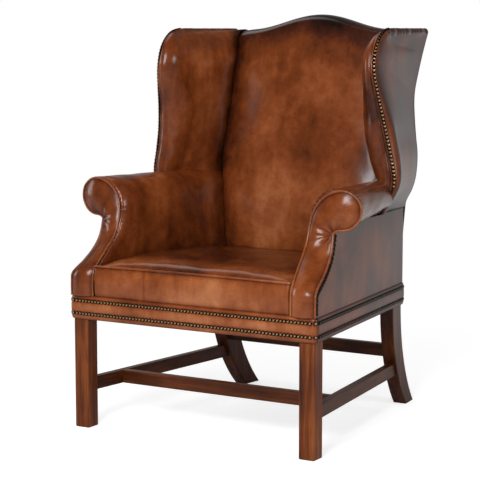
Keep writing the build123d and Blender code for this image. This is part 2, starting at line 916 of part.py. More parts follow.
# Back
with BuildPart() as inside_back:
    for share in back_shares:
        x = back_half * share
        top = crest_line(x)
        roll_level = top - crest_roll
        lip_level = top - back_lip
        swell = (back_crown + back_draw) * (1 - share**4) - back_draw
        foot = (post_front(back_foot) - back_foot_cover - swell, back_foot)
        head = (post_front(roll_level) - back_head_cover - swell * back_head_share, roll_level)
        middle = (
            (foot[0] + head[0]) / 2 - swell / 3,
            (foot[1] + head[1]) / 2,
        )
        rear = (back_face(roll_level), roll_level)
        with BuildSketch(Plane.YZ.offset(x)):
            with BuildLine():
                ThreePointArc(foot, middle, head)
                ThreePointArc(head, ((head[0] + rear[0]) / 2, top), rear)
                Polyline(
                    rear,
                    (back_face(lip_level), lip_level),
                    (post_front(lip_level) - webbing_depth - ease, lip_level),
                    (post_front(back_foot) - webbing_depth - ease, back_foot),
                    foot,
                )
            make_face()
    loft()
    for piece in (rear_leg_right, rear_leg_left, crest_rail, back_webbing, seat_pad):
        add(piece.part, mode=Mode.SUBTRACT)

with BuildPart() as outside_back:
    with BuildSketch(Plane.YZ):
        Polygon(
            (frame_rear, rail_top),
            (frame_rear + panel_thickness, rail_top),
            (frame_rear + panel_thickness, rake_start),
            (back_face(crest_top) + panel_thickness, crest_top),
            (back_face(crest_top), crest_top),
            (frame_rear, rake_start),
            align=None,
        )
    extrude(amount=reach, both=True)
    with BuildSketch(Plane.XZ):
        side = [(wing_rear_half(z), z) for z in rear_levels]
        with BuildLine():
            Spline(*camel_points(crest_roll), tangents=((1, 0), (1, 0)))
            for hand in (-1, 1):
                Line((hand * rear_half, rail_top), (hand * rear_half, arm_neck))
                Polyline(
                    (hand * rear_half, arm_neck),
                    (hand * side[0][0], arm_neck),
                )
                Spline(*[(hand * x, z) for x, z in side])
                Line((hand * side[-1][0], side[-1][1]), (hand * camel_half, wing_top - crest_roll))
            Line((-rear_half, rail_top), (rear_half, rail_top))
        make_face()
    extrude(amount=reach, both=True, mode=Mode.INTERSECT)

# Arms
with BuildPart() as arm_length:
    for y in (front, heel):
        add(arm_section(y, frame_board))
    loft()

# Part of the inside arm that runs on under the wing to the back
with BuildPart() as arm_tail:
    add(arm_length.part)
    side_bar(
        -frame_board,
        -arm_thickness,
        wing_foot - ease,
        (post_front(arm_top) + frame_rear) / 2,
        rail_top,
        arm_top,
        Mode.INTERSECT,
    )

with BuildPart() as inside_arm_right:
    add(arm_length.part)
    with BuildSketch(Plane.YZ):
        with BuildLine():
            TangentArc(
                (scroll_face + arm_front_depth + ease, sweep_level),
                (stump_front + ease, sweep_foot(arm_front_depth + ease)),
                tangent=(0, -1),
            )
            Polyline(
                (stump_front + ease, sweep_foot(arm_front_depth + ease)),
                (stump_front + ease, rail_top),
                (wing_foot - ease, rail_top),
                (wing_foot - ease, crest_top),
                (scroll_face + arm_front_depth + ease, crest_top),
                (scroll_face + arm_front_depth + ease, sweep_level),
            )
        make_face()
    extrude(amount=reach, mode=Mode.INTERSECT)
    add(arm_tail.part)
    for piece in (inside_back, back_hollow, rear_leg_right):
        add(piece.part, mode=Mode.SUBTRACT)

with BuildPart() as arm_front_right:
    for y in (front, wing_foot):
        add(arm_section(y, 0))
    loft()
    with BuildSketch(Plane.YZ):
        with BuildLine():
            TangentArc(
                (scroll_face, sweep_level), (arm_face, rail_top + knee_rise), tangent=(0, -1)
            )
            Polyline(
                (arm_face, rail_top + knee_rise),
                (arm_face, rail_top),
                (stump_front, rail_top),
                (stump_front, sweep_foot(arm_front_depth)),
            )
            TangentArc(
                (scroll_face + arm_front_depth, sweep_level),
                (stump_front, sweep_foot(arm_front_depth)),
                tangent=(0, -1),
            )
            Polyline(
                (scroll_face + arm_front_depth, sweep_level),
                (scroll_face + arm_front_depth, crest_top),
                (scroll_face, crest_top),
                (scroll_face, sweep_level),
            )
        make_face()
    extrude(amount=reach, mode=Mode.INTERSECT)

with BuildPart() as outside_arm_right:
    with BuildSketch(Plane.YZ):
        with BuildLine():
            TangentArc(
                (scroll_face + arm_front_depth, sweep_level),
                (stump_front, sweep_foot(arm_front_depth)),
                tangent=(0, -1),
            )
            Polyline(
                (stump_front, sweep_foot(arm_front_depth)),
                (stump_front, rail_top),
                (frame_rear, rail_top),
                (frame_rear, sweep_level),
                (scroll_face + arm_front_depth, sweep_level),
            )
        make_face()
    extrude(amount=reach)
    side_bar(panel_thickness, 0, front, frame_rear, rail_top, arm_neck, Mode.INTERSECT)

# Wings
with BuildPart() as inside_wing_right:
    for station in wing_stations:
        add(wing_section(*station))
    loft()
    for piece in (
        wing_post_right,
        wing_rail_right,
        rear_leg_right,
        crest_rail,
        inside_back,
        back_hollow,
        inside_arm_right,
    ):
        add(piece.part, mode=Mode.SUBTRACT)

# The wing with the clearance under its outer panel
with BuildPart() as wing_space:
    for share, front_flare, rear_flare, set_back in wing_stations:
        add(wing_section(share, front_flare + ease, rear_flare + ease, set_back))
    loft()

with BuildPart() as outside_wing_right:
    for station in wing_stations:
        add(wing_panel_section(*station))
    loft()
    add(wing_space.part, mode=Mode.SUBTRACT)

# Leather strips along the seat rails
band_half = front_half + band_thickness

with BuildPart() as front_band:
    with BuildSketch(Plane.YZ):
        with BuildLine():
            ThreePointArc(
                (front + band_swell, band_low),
                (front, (band_low + rail_top) / 2),
                (front + band_swell, rail_top),
            )
            Polyline(
                (front + band_swell, rail_top),
                (frame_front, rail_top),
                (frame_front, band_low),
                (front + band_swell, band_low),
            )
        make_face()
    extrude(amount=band_half, both=True)

with BuildPart() as side_band_right:
    side_bar(band_thickness, 0, frame_front, frame_rear, band_low, rail_top)

with BuildPart() as rear_band:
    square_bar(
        -rear_half - band_thickness,
        rear_half + band_thickness,
        frame_rear,
        frame_rear + band_thickness,
        band_low,
        rail_top,
    )
    for leg in (rear_leg_right, rear_leg_left):
        add(leg.part, mode=Mode.SUBTRACT)

# Left-hand twins and files
pairs = {
    "front_leg": front_leg_right,
    "rear_leg": rear_leg_right,
    "side_stretcher": side_stretcher_right,
    "side_seat_rail": side_seat_rail_right,
    "arm_stump": arm_stump_right,
    "arm_rail": arm_rail_right,
    "wing_post": wing_post_right,
    "wing_rail": wing_rail_right,
    "inside_arm": inside_arm_right,
    "arm_front": arm_front_right,
    "outside_arm": outside_arm_right,
    "inside_wing": inside_wing_right,
    "outside_wing": outside_wing_right,
    "side_band": side_band_right,
}
singles = {
    "cross_stretcher": cross_stretcher,
    "rear_stretcher": rear_stretcher,
    "front_seat_rail": front_seat_rail,
    "rear_seat_rail": rear_seat_rail,
    "corner_blocks": corner_blocks,
    "corner_block_screws": corner_block_screws,
    "crest_rail": crest_rail,
    "lower_back_rail": lower_back_rail,
    "seat_springs": seat_springs,
    "spring_clips": spring_clips,
    "spring_cover": spring_cover,
    "back_webbing": back_webbing,
    "dust_cover": dust_cover,
    "seat_pad": seat_pad,
    "seat_border": seat_border,
    "inside_back": inside_back,
    "outside_back": outside_back,
    "front_band": front_band,
    "rear_band": rear_band,
}

os.makedirs("parts", exist_ok=True)
for name, piece in singles.items():
    piece.part.label = name
    export_step(piece.part, f"parts/{name}.step")
for name, right in pairs.items():
    with BuildPart() as left:
        mirror(right.part, about=Plane.YZ)
    for hand, piece in (("right", right), ("left", left)):
        piece.part.label = f"{name}_{hand}"
        export_step(piece.part, f"parts/{name}_{hand}.step")
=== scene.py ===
"""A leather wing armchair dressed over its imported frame. Lengths are in metres, and the chair faces -Y."""

import bmesh
import bpy
import numpy as np
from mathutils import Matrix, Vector


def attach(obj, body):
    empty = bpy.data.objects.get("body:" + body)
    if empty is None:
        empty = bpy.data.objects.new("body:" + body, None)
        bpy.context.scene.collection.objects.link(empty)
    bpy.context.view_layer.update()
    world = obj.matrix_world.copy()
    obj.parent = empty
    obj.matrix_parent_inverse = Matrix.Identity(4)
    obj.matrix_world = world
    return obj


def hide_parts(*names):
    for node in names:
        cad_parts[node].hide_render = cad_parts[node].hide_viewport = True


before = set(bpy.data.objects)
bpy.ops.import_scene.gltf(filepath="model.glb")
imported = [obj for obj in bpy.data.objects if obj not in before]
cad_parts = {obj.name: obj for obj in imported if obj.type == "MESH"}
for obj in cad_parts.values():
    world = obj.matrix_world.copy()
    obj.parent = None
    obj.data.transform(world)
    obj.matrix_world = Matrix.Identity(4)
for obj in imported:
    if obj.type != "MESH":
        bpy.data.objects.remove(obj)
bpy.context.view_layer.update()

# Legs and stretchers: square beech, planed and sanded, mortised together and stained a warm brown.
# They are rigid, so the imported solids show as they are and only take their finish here.


def linear(code):
    """A colour written as sRGB hex, turned to linear light by the sRGB curve."""
    parts = np.array([int(code[i:i + 2], 16) for i in (1, 3, 5)]) / 255.0
    light = np.where(parts <= 0.04045, parts / 12.92, ((parts + 0.055) / 1.055) ** 2.4)
    return (*light.tolist(), 1.0)


def add_node(tree, kind, inputs=None, steps=(), **settings):
    """One node with its settings and links: each input takes a number, a colour or another node's socket.
    A colour ramp also takes its steps, each a place from 0 to 1 and a hex colour."""
    made = tree.nodes.new(kind)
    for key, value in settings.items():
        setattr(made, key, value)
    for key, value in (inputs or {}).items():
        if isinstance(value, bpy.types.NodeSocket):
            tree.links.new(value, made.inputs[key])
        else:
            made.inputs[key].default_value = value
    stops = made.color_ramp.elements if steps else []
    while len(stops) < len(steps):
        stops.new(0.5)
    for stop, (place, code) in zip(stops, steps):
        stop.position = place
        stop.color = linear(code)
    return made


def new_finish(name):
    """An empty node material and its shader."""
    finish = bpy.data.materials.new(name)
    finish.use_nodes = True
    return finish, finish.node_tree, finish.node_tree.nodes["Principled BSDF"]


def stained_beech(name, grain, tones):
    """Planed beech under a satin stain of three tones: streaks along the grain, 16 mm across and 250 mm long with
    finer ones in them, a little cloudy over 110 mm, under a soft gloss."""
    finish, tree, shader = new_finish(name)
    streak_width, streak_length, cloud_size = 0.016, 0.25, 0.1111
    scale = [1 / streak_length if axis == grain else 1 / streak_width for axis in "xyz"]
    place = add_node(tree, "ShaderNodeTexCoord").outputs["Object"]
    stretched = add_node(tree, "ShaderNodeMapping", {"Vector": place, "Scale": scale}).outputs["Vector"]
    streak = add_node(tree, "ShaderNodeTexNoise", {"Vector": stretched, "Scale": 1.0, "Detail": 5.0,
                                                   "Roughness": 0.6}).outputs["Fac"]
    cloud = add_node(tree, "ShaderNodeTexNoise", {"Vector": place, "Scale": 1 / cloud_size,
                                                  "Detail": 2.0}).outputs["Fac"]
    tone = add_node(tree, "ShaderNodeMath", {0: streak, 1: 0.7}, operation="MULTIPLY").outputs[0]
    tone = add_node(tree, "ShaderNodeMath", {0: cloud, 1: 0.3, 2: tone}, operation="MULTIPLY_ADD").outputs[0]
    colour = add_node(tree, "ShaderNodeValToRGB", {"Fac": tone}, steps=list(zip((0.32, 0.50, 0.66), tones)))
    tree.links.new(colour.outputs["Color"], shader.inputs["Base Color"])
    bump = add_node(tree, "ShaderNodeBump", {"Height": streak, "Strength": 0.12, "Distance": 0.001})
    tree.links.new(bump.outputs["Normal"], shader.inputs["Normal"])
    shader.inputs["Roughness"].default_value = 0.36
    shader.inputs["IOR"].default_value = 1.32
    return finish


def dress(names, finish):
    """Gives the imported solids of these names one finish."""
    for name in names:
        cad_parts[name].data.materials.clear()
        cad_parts[name].data.materials.append(finish)


# The rear legs take darker tones than the front legs as painted shade. On the stretchers the darker tones are partly a
# deeper stain and partly painted shade.
warm_stain, deeper_stain_and_shade = ("#321405", "#642E10", "#8C4D20"), ("#270F05", "#4C220C", "#6B3717")
dress(["front_leg_left", "front_leg_right"], stained_beech("stained_beech_front_legs", "z", warm_stain))
dress(["rear_leg_left", "rear_leg_right"], stained_beech("stained_beech_rear_legs_painted_shade", "z", deeper_stain_and_shade))
dress(["side_stretcher_left", "side_stretcher_right"], stained_beech("stained_beech_front_to_back", "y", deeper_stain_and_shade))
dress(["cross_stretcher", "rear_stretcher"], stained_beech("stained_beech_side_to_side", "x", deeper_stain_and_shade))

# Inner frame: raw beech rails, stumps and posts, glued and screwed, with zigzag springs clipped to the rails,
# jute webbing and canvas over them, and a black cambric tacked underneath. Leather hides all but the cambric.


def plain_finish(name, light, dark, spacing, roughness, metallic=0.0):
    """A matt stuff of two close tones, whose flecks are about spacing apart."""
    finish, tree, shader = new_finish(name)
    place = add_node(tree, "ShaderNodeTexCoord").outputs["Object"]
    fleck = add_node(tree, "ShaderNodeTexNoise", {"Vector": place, "Scale": 1 / spacing, "Detail": 3.0})
    colour = add_node(tree, "ShaderNodeValToRGB", {"Fac": fleck.outputs["Fac"]}, steps=[(0.35, dark), (0.65, light)])
    tree.links.new(colour.outputs["Color"], shader.inputs["Base Color"])
    shader.inputs["Roughness"].default_value = roughness
    shader.inputs["Metallic"].default_value = metallic
    return finish


raw_beech = plain_finish("raw_sawn_beech", "#C69C6D", "#A97F52", 0.012, 0.7)
spring_steel = plain_finish("drawn_spring_steel", "#8C8F92", "#6C6F72", 0.02, 0.4, 1.0)
jute = plain_finish("woven_jute", "#A58A5C", "#7D6540", 0.004, 0.9)
cambric = plain_finish("black_cambric", "#1E1C1B", "#141211", 0.004, 0.9)
dress(["front_seat_rail", "rear_seat_rail", "side_seat_rail_left", "side_seat_rail_right", "corner_blocks"], raw_beech)
dress([f"{part}_{side}" for part in ("arm_stump", "arm_rail", "wing_post", "wing_rail")
       for side in ("left", "right")], raw_beech)
dress(["crest_rail", "lower_back_rail"], raw_beech)
dress(["seat_springs", "spring_clips", "corner_block_screws"], spring_steel)
dress(["spring_cover", "back_webbing"], jute)
dress(["dust_cover"], cambric)

# Rail band: one strip of hide drawn round the seat rails and the tops of the legs, 65 mm high,
# turned under at both edges and held by the two rows of nails.

frame_front, frame_rear, front_half, rear_half = -0.383, 0.270, 0.367, 0.292
band_low, band_high, turn_under = 0.2975, 0.3625, 0.002
nail_rows = (0.3145, 0.3490)


def antiqued_hide(name, gloss_from, gloss_to):
    """Waxed cowhide, stained dark and rubbed back by hand: broad clouds 190 mm across, mottling of 26 mm and
    specks of 6 mm between chestnut and near black, upright streaks 50 mm wide where the rag was drawn, and dark
    nicks about 90 mm apart. A per-point attribute darkens it below 0 and lightens it to tan above 0. That attribute
    holds real wear together with painted shade in creases, tucks and under parts, and painted highlights. The mottling
    also moves the roughness between its two bounds. The pores, really under 1 mm, are drawn 4 mm apart to show."""
    finish, tree, shader = new_finish(name)
    place = add_node(tree, "ShaderNodeTexCoord").outputs["Object"]
    rub_and_shading = add_node(tree, "ShaderNodeAttribute", attribute_name="rub_and_shading").outputs["Fac"]
    cloud, mottle, speck, pores = (
        add_node(tree, "ShaderNodeTexNoise", {"Vector": place, "Scale": 1 / size, "Detail": detail,
                                              "Roughness": roughness}).outputs["Fac"]
        for size, detail, roughness in ((0.19, 2.0, 0.5), (0.026, 5.0, 0.6), (0.006, 2.0, 0.5), (0.004, 3.0, 0.5)))
    drawn_out = add_node(tree, "ShaderNodeMapping", {"Vector": place, "Scale": (1 / 0.05, 1 / 0.05, 1 / 0.2)})
    streak = add_node(tree, "ShaderNodeTexNoise", {"Vector": drawn_out.outputs["Vector"], "Scale": 1.0, "Detail": 4.0,
                                                   "Roughness": 0.55}).outputs["Fac"]
    tone = -0.125
    for pattern, share in ((cloud, 0.62), (streak, 0.28), (mottle, 0.26), (speck, 0.08), (rub_and_shading, 0.30)):
        tone = add_node(tree, "ShaderNodeMath", {0: pattern, 1: share, 2: tone}, operation="MULTIPLY_ADD").outputs[0]
    scar = add_node(tree, "ShaderNodeTexVoronoi", {"Vector": place, "Scale": 1 / 0.09}).outputs["Distance"]
    nick = add_node(tree, "ShaderNodeMapRange", {"Value": scar, "From Min": 0.01, "From Max": 0.04,
                                                 "To Min": -0.16, "To Max": 0.0}).outputs["Result"]
    tone = add_node(tree, "ShaderNodeMath", {0: tone, 1: nick}, operation="ADD").outputs[0]
    colour = add_node(tree, "ShaderNodeValToRGB", {"Fac": tone},
                      steps=[(0.12, "#150602"), (0.34, "#3F1A0A"), (0.52, "#6E3414"), (0.66, "#8B4A25"),
                             (0.84, "#AD6D45")])
    tree.links.new(colour.outputs["Color"], shader.inputs["Base Color"])
    gloss = add_node(tree, "ShaderNodeMapRange", {"Value": mottle, "To Min": gloss_from, "To Max": gloss_to})
    tree.links.new(gloss.outputs["Result"], shader.inputs["Roughness"])
    bump = add_node(tree, "ShaderNodeBump", {"Height": pores, "Strength": 0.07, "Distance": 0.0008})
    tree.links.new(bump.outputs["Normal"], shader.inputs["Normal"])
    shader.inputs["IOR"].default_value = 1.38
    return finish


def quads_between(net):
    """Faces of a grid of point numbers: four neighbours in its rows and columns make each."""
    return np.stack([net[:-1, :-1], net[:-1, 1:], net[1:, 1:], net[1:, :-1]], axis=-1).reshape(-1, 4)


def placed(name, mesh, finish):
    """A finished mesh as a smooth piece of the chair, in one finish."""
    mesh.shade_smooth()
    mesh.materials.append(finish)
    piece = bpy.data.objects.new(name, mesh)
    bpy.context.scene.collection.objects.link(piece)
    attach(piece, "root")
    return piece


def sewn(name, rows, finish, around=False, along=False, capped=False, rub_and_shading=0.0):
    """A piece from a grid of points: neighbours in both directions make quads. around closes each row on itself,
    along joins the last row to the first, and capped closes the end rows on their middles. The last argument is the
    hide's wear together with its painted shade and painted highlights, kept on each point."""
    count, width = rows.shape[:2]
    ids = np.arange(count * width).reshape(count, width)
    wear_and_shading = np.broadcast_to(rub_and_shading, (count, width)).ravel()
    points = rows.reshape(-1, 3)
    net = np.concatenate([ids, ids[:, :1]], axis=1) if around else ids
    net = np.concatenate([net, net[:1]], axis=0) if along else net
    faces = quads_between(net).tolist()
    if capped:
        points = np.vstack([points, rows[0].mean(axis=0), rows[-1].mean(axis=0)])
        wear_and_shading = np.concatenate([wear_and_shading, wear_and_shading[:1], wear_and_shading[-1:]])
        for row, hub in ((net[0], count * width), (net[-1], count * width + 1)):
            faces += np.stack([row[:-1], row[1:], np.full(len(row) - 1, hub)], axis=-1).tolist()
    mesh = bpy.data.meshes.new(name)
    mesh.from_pydata(points.tolist(), [], faces)
    mesh.attributes.new("rub_and_shading", "FLOAT", "POINT").data.foreach_set("value", wear_and_shading.astype(np.float32))
    work = bmesh.new()
    work.from_mesh(mesh)
    bmesh.ops.remove_doubles(work, verts=work.verts, dist=1e-6)
    bmesh.ops.recalc_face_normals(work, faces=work.faces)
    work.to_mesh(mesh)
    work.free()
    return placed(name, mesh, finish)


def points_at(x, y, z):
    """Points from their x, y and z, each spread over the same grid."""
    return np.stack(np.broadcast_arrays(x, y, z), axis=-1)


def unit(ways):
    """Directions with their lengths divided out."""
    return ways / (np.linalg.norm(ways, axis=-1, keepdims=True) + 1e-12)


def passed_on(line):
    """Length along a line of points from its start to each of them."""
    return np.concatenate([[0.0], np.cumsum(np.linalg.norm(np.diff(line, axis=0), axis=1))])


def spots_on(line, passed, at):
    """Points at these lengths along a line, straight between the line's own points."""
    return np.stack([np.interp(at, passed, values) for values in line.T], axis=1)


def eased(start, end, value):
    """0 before start, 1 after end and an S curve between them. With start above end it falls as value grows."""
    share = np.clip((value - start) / (end - start), 0.0, 1.0)
    return share * share * (3 - 2 * share)


def bell(middle, width, value):
    """1 at the middle, falling off to both sides as e to the minus square of the distance over the width."""
    return np.exp(-((value - middle) / width) ** 2)


def crowded(count):
    """Places from -1 to 1, closer together towards both ends as the sine of even angles is."""
    return np.sin(np.linspace(-np.pi / 2, np.pi / 2, count))


def half_width(y):
    """Half the width of the seat frame at depth y: it narrows evenly from the front rail to the rear one."""
    return front_half + (rear_half - front_half) * (y - frame_front) / (frame_rear - frame_front)


def frame_outline(offset, spacing):
    """The frame's plan as a closed loop at this offset, its corners eased by averaging neighbours, with outward
    directions. Points are evenly spaced along it."""
    corners = np.array([[front_half, frame_front], [rear_half, frame_rear], [-rear_half, frame_rear],
                        [-front_half, frame_front], [front_half, frame_front]])
    passed = passed_on(corners)
    count = int(round(passed[-1] / spacing))
    loop = spots_on(corners, passed, np.arange(count) * passed[-1] / count)
    loop = (np.roll(loop, 1, axis=0) + 2 * loop + np.roll(loop, -1, axis=0)) / 4
    run = np.roll(loop, -1, axis=0) - np.roll(loop, 1, axis=0)
    outward = unit(np.stack([run[:, 1], -run[:, 0]], axis=1))
    return loop + outward * offset, outward


# the outside of the chair is less handled, so its wax is duller than that of the seat, back and arms
outer_hide = antiqued_hide("antiqued_cowhide_outside", 0.28, 0.36)
height = crowded(26)
band_z = (band_low + band_high) / 2 + (band_high - band_low) / 2 * height
pinch = sum(bell(row, 0.0062, band_z) for row in nail_rows)
band_out = 0.0078 * np.sqrt(1 - height ** 8) + 0.0016 * (1 - height ** 2) - 0.0010 * pinch
turned_in = np.concatenate([band_out, [-turn_under, -turn_under]])
turned_z = np.concatenate([band_z, [band_high - turn_under, band_low + turn_under]])
path, outward = frame_outline(0.0, 0.004)
plan = path[:, None, :] + outward[:, None, :] * turned_in[None, :, None]
rows = points_at(plan[..., 0], plan[..., 1], turned_z)
# The band is painted darker in the dimples round the nails and along its turned top and bottom edges, and darker on
# the sides and rear away from the front lamps: painted shade.
wear_and_shading = 0.59 - 0.9 * np.concatenate([pinch * 0.85 + 0.8 * np.abs(height) ** 6, [1.0, 1.0]])
off_front = 1 - eased(0.2, 0.8, -outward[:, 1])[:, None]
rail_band = sewn("rail_band", rows, outer_hide, around=True, along=True, rub_and_shading=wear_and_shading - 0.85 * off_front)
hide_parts("front_band", "side_band_left", "side_band_right", "rear_band")

# Band nails: domed upholstery nails of antiqued brass, about 11 mm across, driven edge to edge
# in two rows all round the band.

nail_radius, nail_dome, nail_pitch, nail_seat = 0.0056, 0.0031, 0.0101, 0.0086


def antiqued_brass(name):
    """Brass darkened with a patina, paler on the crown of each dome: partly rubbed brass, partly a painted highlight.
    """
    finish, tree, shader = new_finish(name)
    rub_and_shading = add_node(tree, "ShaderNodeAttribute", attribute_name="rub_and_shading").outputs["Fac"]
    colour = add_node(tree, "ShaderNodeValToRGB", {"Fac": rub_and_shading},
                      steps=[(0.36, "#070302"), (0.72, "#54331A"), (0.98, "#E6C295")])
    tree.links.new(colour.outputs["Color"], shader.inputs["Base Color"])
    shader.inputs["Metallic"].default_value = 0.9
    shader.inputs["Roughness"].default_value = 0.24
    return finish


def nail_heads(name, places, facing):
    """Domes at these places: each is a cap of a flattened ball, turned so that its axis is the outward direction.
    Its shading value grows from the dark patina at the rim to a painted highlight on the crown. It is higher on
    nails that face the front, toward the main lamps, as painted light."""
    facing = unit(facing)
    guide = np.where(np.abs(facing[:, 2:]) < 0.9, [[0.0, 0.0, 1.0]], [[1.0, 0.0, 0.0]])
    side = unit(np.cross(guide, facing))
    up = np.cross(facing, side)
    sides, ring_patina_and_glint = 10, [0.0, 0.04, 0.25, 0.76]
    tilt = np.radians([102, 84, 58, 30])[:, None]
    turn = np.linspace(0, 2 * np.pi, sides, endpoint=False)
    rings = points_at(nail_radius * np.sin(tilt) * np.cos(turn), nail_radius * np.sin(tilt) * np.sin(turn),
                      nail_dome * np.cos(tilt))
    dome = np.vstack([rings.reshape(-1, 3), [[0, 0, nail_dome]]])
    crown = len(dome) - 1
    points = (places[:, None, :] + side[:, None, :] * dome[None, :, :1] + up[:, None, :] * dome[None, :, 1:2]
              + facing[:, None, :] * dome[None, :, 2:])
    ids = np.arange(crown).reshape(-1, sides)
    net = np.concatenate([ids, ids[:, :1]], axis=1)
    cap = np.stack([net[-1, :-1], net[-1, 1:], np.full(sides, crown)], axis=-1)
    start = (np.arange(len(places)) * len(dome))[:, None, None]
    faces = (quads_between(net) + start).reshape(-1, 4).tolist() + (cap + start).reshape(-1, 3).tolist()
    mesh = bpy.data.meshes.new(name)
    mesh.from_pydata(points.reshape(-1, 3).tolist(), [], faces)
    # painted light: nails facing the front, toward the main lamps, are made brighter
    lit_from_front = 0.74 + 0.26 * eased(0.1, 0.7, -facing[:, 1])
    rub_and_shading = np.outer(lit_from_front, np.append(np.repeat(ring_patina_and_glint, sides), 1.0)).ravel()
    mesh.attributes.new("rub_and_shading", "FLOAT", "POINT").data.foreach_set("value", rub_and_shading.astype(np.float32))
    return placed(name, mesh, brass)


brass = antiqued_brass("antiqued_brass")
spots, ways = frame_outline(nail_seat, nail_pitch)
for label, row in zip(("lower", "upper"), nail_rows):
    nail_heads(f"band_nails_{label}", points_at(*spots.T, row), points_at(*ways.T, 0.0))

# Seat: a sprung pad of hair and wadding under one hide, crowned in the middle, rolled at the front,
# and tucked down beside the arms and under the back.

seat_edge, seat_under, seat_front, seat_rear = 0.4440, 0.402, -0.3745, 0.2000
# the second number is the depth of a band of painted sheen just behind the seat's front edge
beside_arm, painted_sheen_y = 0.060, -0.345
unseen = -0.8  # painted shade on hide that is folded out of sight


def square_to(rows):
    """Unit directions square to a grid of points: down its columns crossed with along its rows."""
    return unit(np.cross(np.gradient(rows, axis=0), np.gradient(rows, axis=1)))


def stuffed(rows, depth):
    """The same grid with the slight unevenness of hand stuffing: each point moves along the grid's normal
    by a sum of slow waves of its place."""
    x, y, z = np.moveaxis(rows, 2, 0)
    wave = (np.sin(37 * x + 21 * z + 11 * y) + np.sin(29 * y - 33 * z + 1.3) + np.sin(52 * z - 31 * x + 2.1)
            + 0.6 * np.sin(81 * x + 64 * y + 47 * z) + 0.5 * np.sin(110 * z - 73 * y + 0.7))
    return rows + square_to(rows) * (depth * wave / 2)[..., None]


hide = antiqued_hide("antiqued_cowhide", 0.22, 0.272)
depth = seat_front + (seat_rear - seat_front) * np.linspace(0, 1, 70) ** 1.35
across = crowded(80)
run = ((depth - seat_front) / (seat_rear - seat_front))[:, None]
bull_nose = np.sqrt(1 - (1 - np.clip(run / 0.036, 0, 1)) ** 2) * (1 - 0.8 * eased(0.5, 1.0, run))
rise = 0.40 * bull_nose + 0.66 * np.sin(np.pi * run ** 0.60)
crown = (1 - np.abs(across) ** 5.0) ** 0.6
seat_x = (half_width(depth) - beside_arm)[:, None] * across
seat_z = seat_edge - 0.004 + 0.031 * rise * crown - 0.004 * np.abs(across) ** 8
top = stuffed(points_at(seat_x, depth[:, None], seat_z), 0.0016)
under = top[:, ::-8].copy()
under[..., 2] = seat_under
under[..., 0] *= 0.98
# The seat top is painted lighter on its crown and darker where it tucks down by the arms and back, partly wear and
# partly painted shade. A band of painted sheen runs just behind the front edge.
top_wear_and_shading = 0.35 * crown * (0.4 + 0.6 * rise) - 0.70 + 0.72 * bell(painted_sheen_y, 0.04, depth)[:, None]
wear_and_shading = np.concatenate([top_wear_and_shading, np.full(under.shape[:2], unseen)], axis=1)
seat_pad = sewn("seat_pad_hide", np.concatenate([top, under], axis=1), hide, around=True, capped=True, rub_and_shading=wear_and_shading)
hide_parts("seat_pad")

# Seat border: the upright front of the seat, a padded strip between the arm fronts, seamed once to the left
# of the middle and sewn to the seat along a welt.

border_low, border_high, border_front, border_back = 0.3612, 0.4425, -0.3862, -0.3660
arm_front_y, arm_front_width, seam_x, welt_z = -0.386, 0.0690, -0.138, 0.4435
border_half = half_width(arm_front_y) - arm_front_width


def piping(name, path, finish, guide):
    """A cord sewn into hide: a circle carried along the path, square to it and to the guide direction."""
    radius, rub_and_shading = 0.0028, 0.38
    run = unit(np.gradient(path, axis=0))
    first = unit(np.cross(run, np.broadcast_to(guide, path.shape)))
    second = np.cross(run, first)
    turn = np.linspace(0, 2 * np.pi, 12, endpoint=False)[None, :, None]
    circle = np.cos(turn) * first[:, None, :] + np.sin(turn) * second[:, None, :]
    piece = sewn(name, path[:, None, :] + radius * circle, finish, around=True, capped=True, rub_and_shading=rub_and_shading)
    return piece


def boxed(value):
    """Sine or cosine pushed out towards -1 and 1, which turns a circle into a box with rounded corners."""
    return np.sign(value) * np.abs(value) ** 0.25


turn = np.linspace(0, 2 * np.pi, 56, endpoint=False)
loop_y, loop_z = boxed(np.cos(turn)), boxed(np.sin(turn))
border_x = border_half * crowded(150)
end_round = 0.006
near_end = np.clip((np.abs(border_x) - border_half + end_round) / end_round, 0, 1)[:, None]
shrink = np.sqrt(1 - 0.75 * near_end ** 2)
swell = 0.0055 * (1 - loop_z ** 2) * (loop_y < 0)
pucker = 0.0007 * np.sin(border_x / 0.0032) * np.exp(-(border_half - np.abs(border_x)) / 0.028)
border_y = border_back + (border_front - border_back) / 2 * (1 - loop_y) * shrink - swell * shrink
border_y = border_y + pucker[:, None] * (loop_y < 0)
border_z = (border_low + border_high) / 2 + (border_high - border_low) / 2 * loop_z
rows = points_at(border_x[:, None], border_y, border_z)
# The border is painted darker at its ends by the arms, in the seam and along its top and bottom edges (painted shade),
# and lighter in the middle (painted light).
shade = 0.35 * eased(0.12, 0.26, border_x) + 0.40 * eased(-0.15, -0.27, border_x) - 0.32 * bell(0.0, 0.12, border_x)
shade = shade + 0.5 * bell(seam_x, 0.0022, border_x)
wear_and_shading = 0.55 - 0.9 * np.abs(loop_z) ** 8 - 0.7 * near_end ** 3 - shade[:, None]
seat_border = sewn("seat_border_hide", stuffed(rows, 0.0008), hide, around=True, capped=True, rub_and_shading=wear_and_shading)
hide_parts("seat_border")
welt_x = np.linspace(-border_half, border_half, 90)
welt_path = points_at(welt_x, border_front + 0.0015, welt_z + 0.0015 * (1 - (welt_x / border_half) ** 2))
piping("seat_welt", welt_path, hide, guide=(0.0, 0.0, 1.0))

# Inside back: a tall pad sprung on webbing, its hide drawn back into a crease along the arms and wings
# and taken over the camel-backed top rail.

# x and y of the crease where the back meets the arms and wings, by height
crease = [(0.221, 0.163, 0.430), (0.241, 0.188, 0.573), (0.260, 0.217, 0.687), (0.2575, 0.263, 0.879),
          (0.256, 0.285, 0.978), (0.257, 0.310, 1.075)]
back_foot, back_half, top_level, top_roll, back_lip = 0.425, 0.257, 1.070, 0.024, 0.070


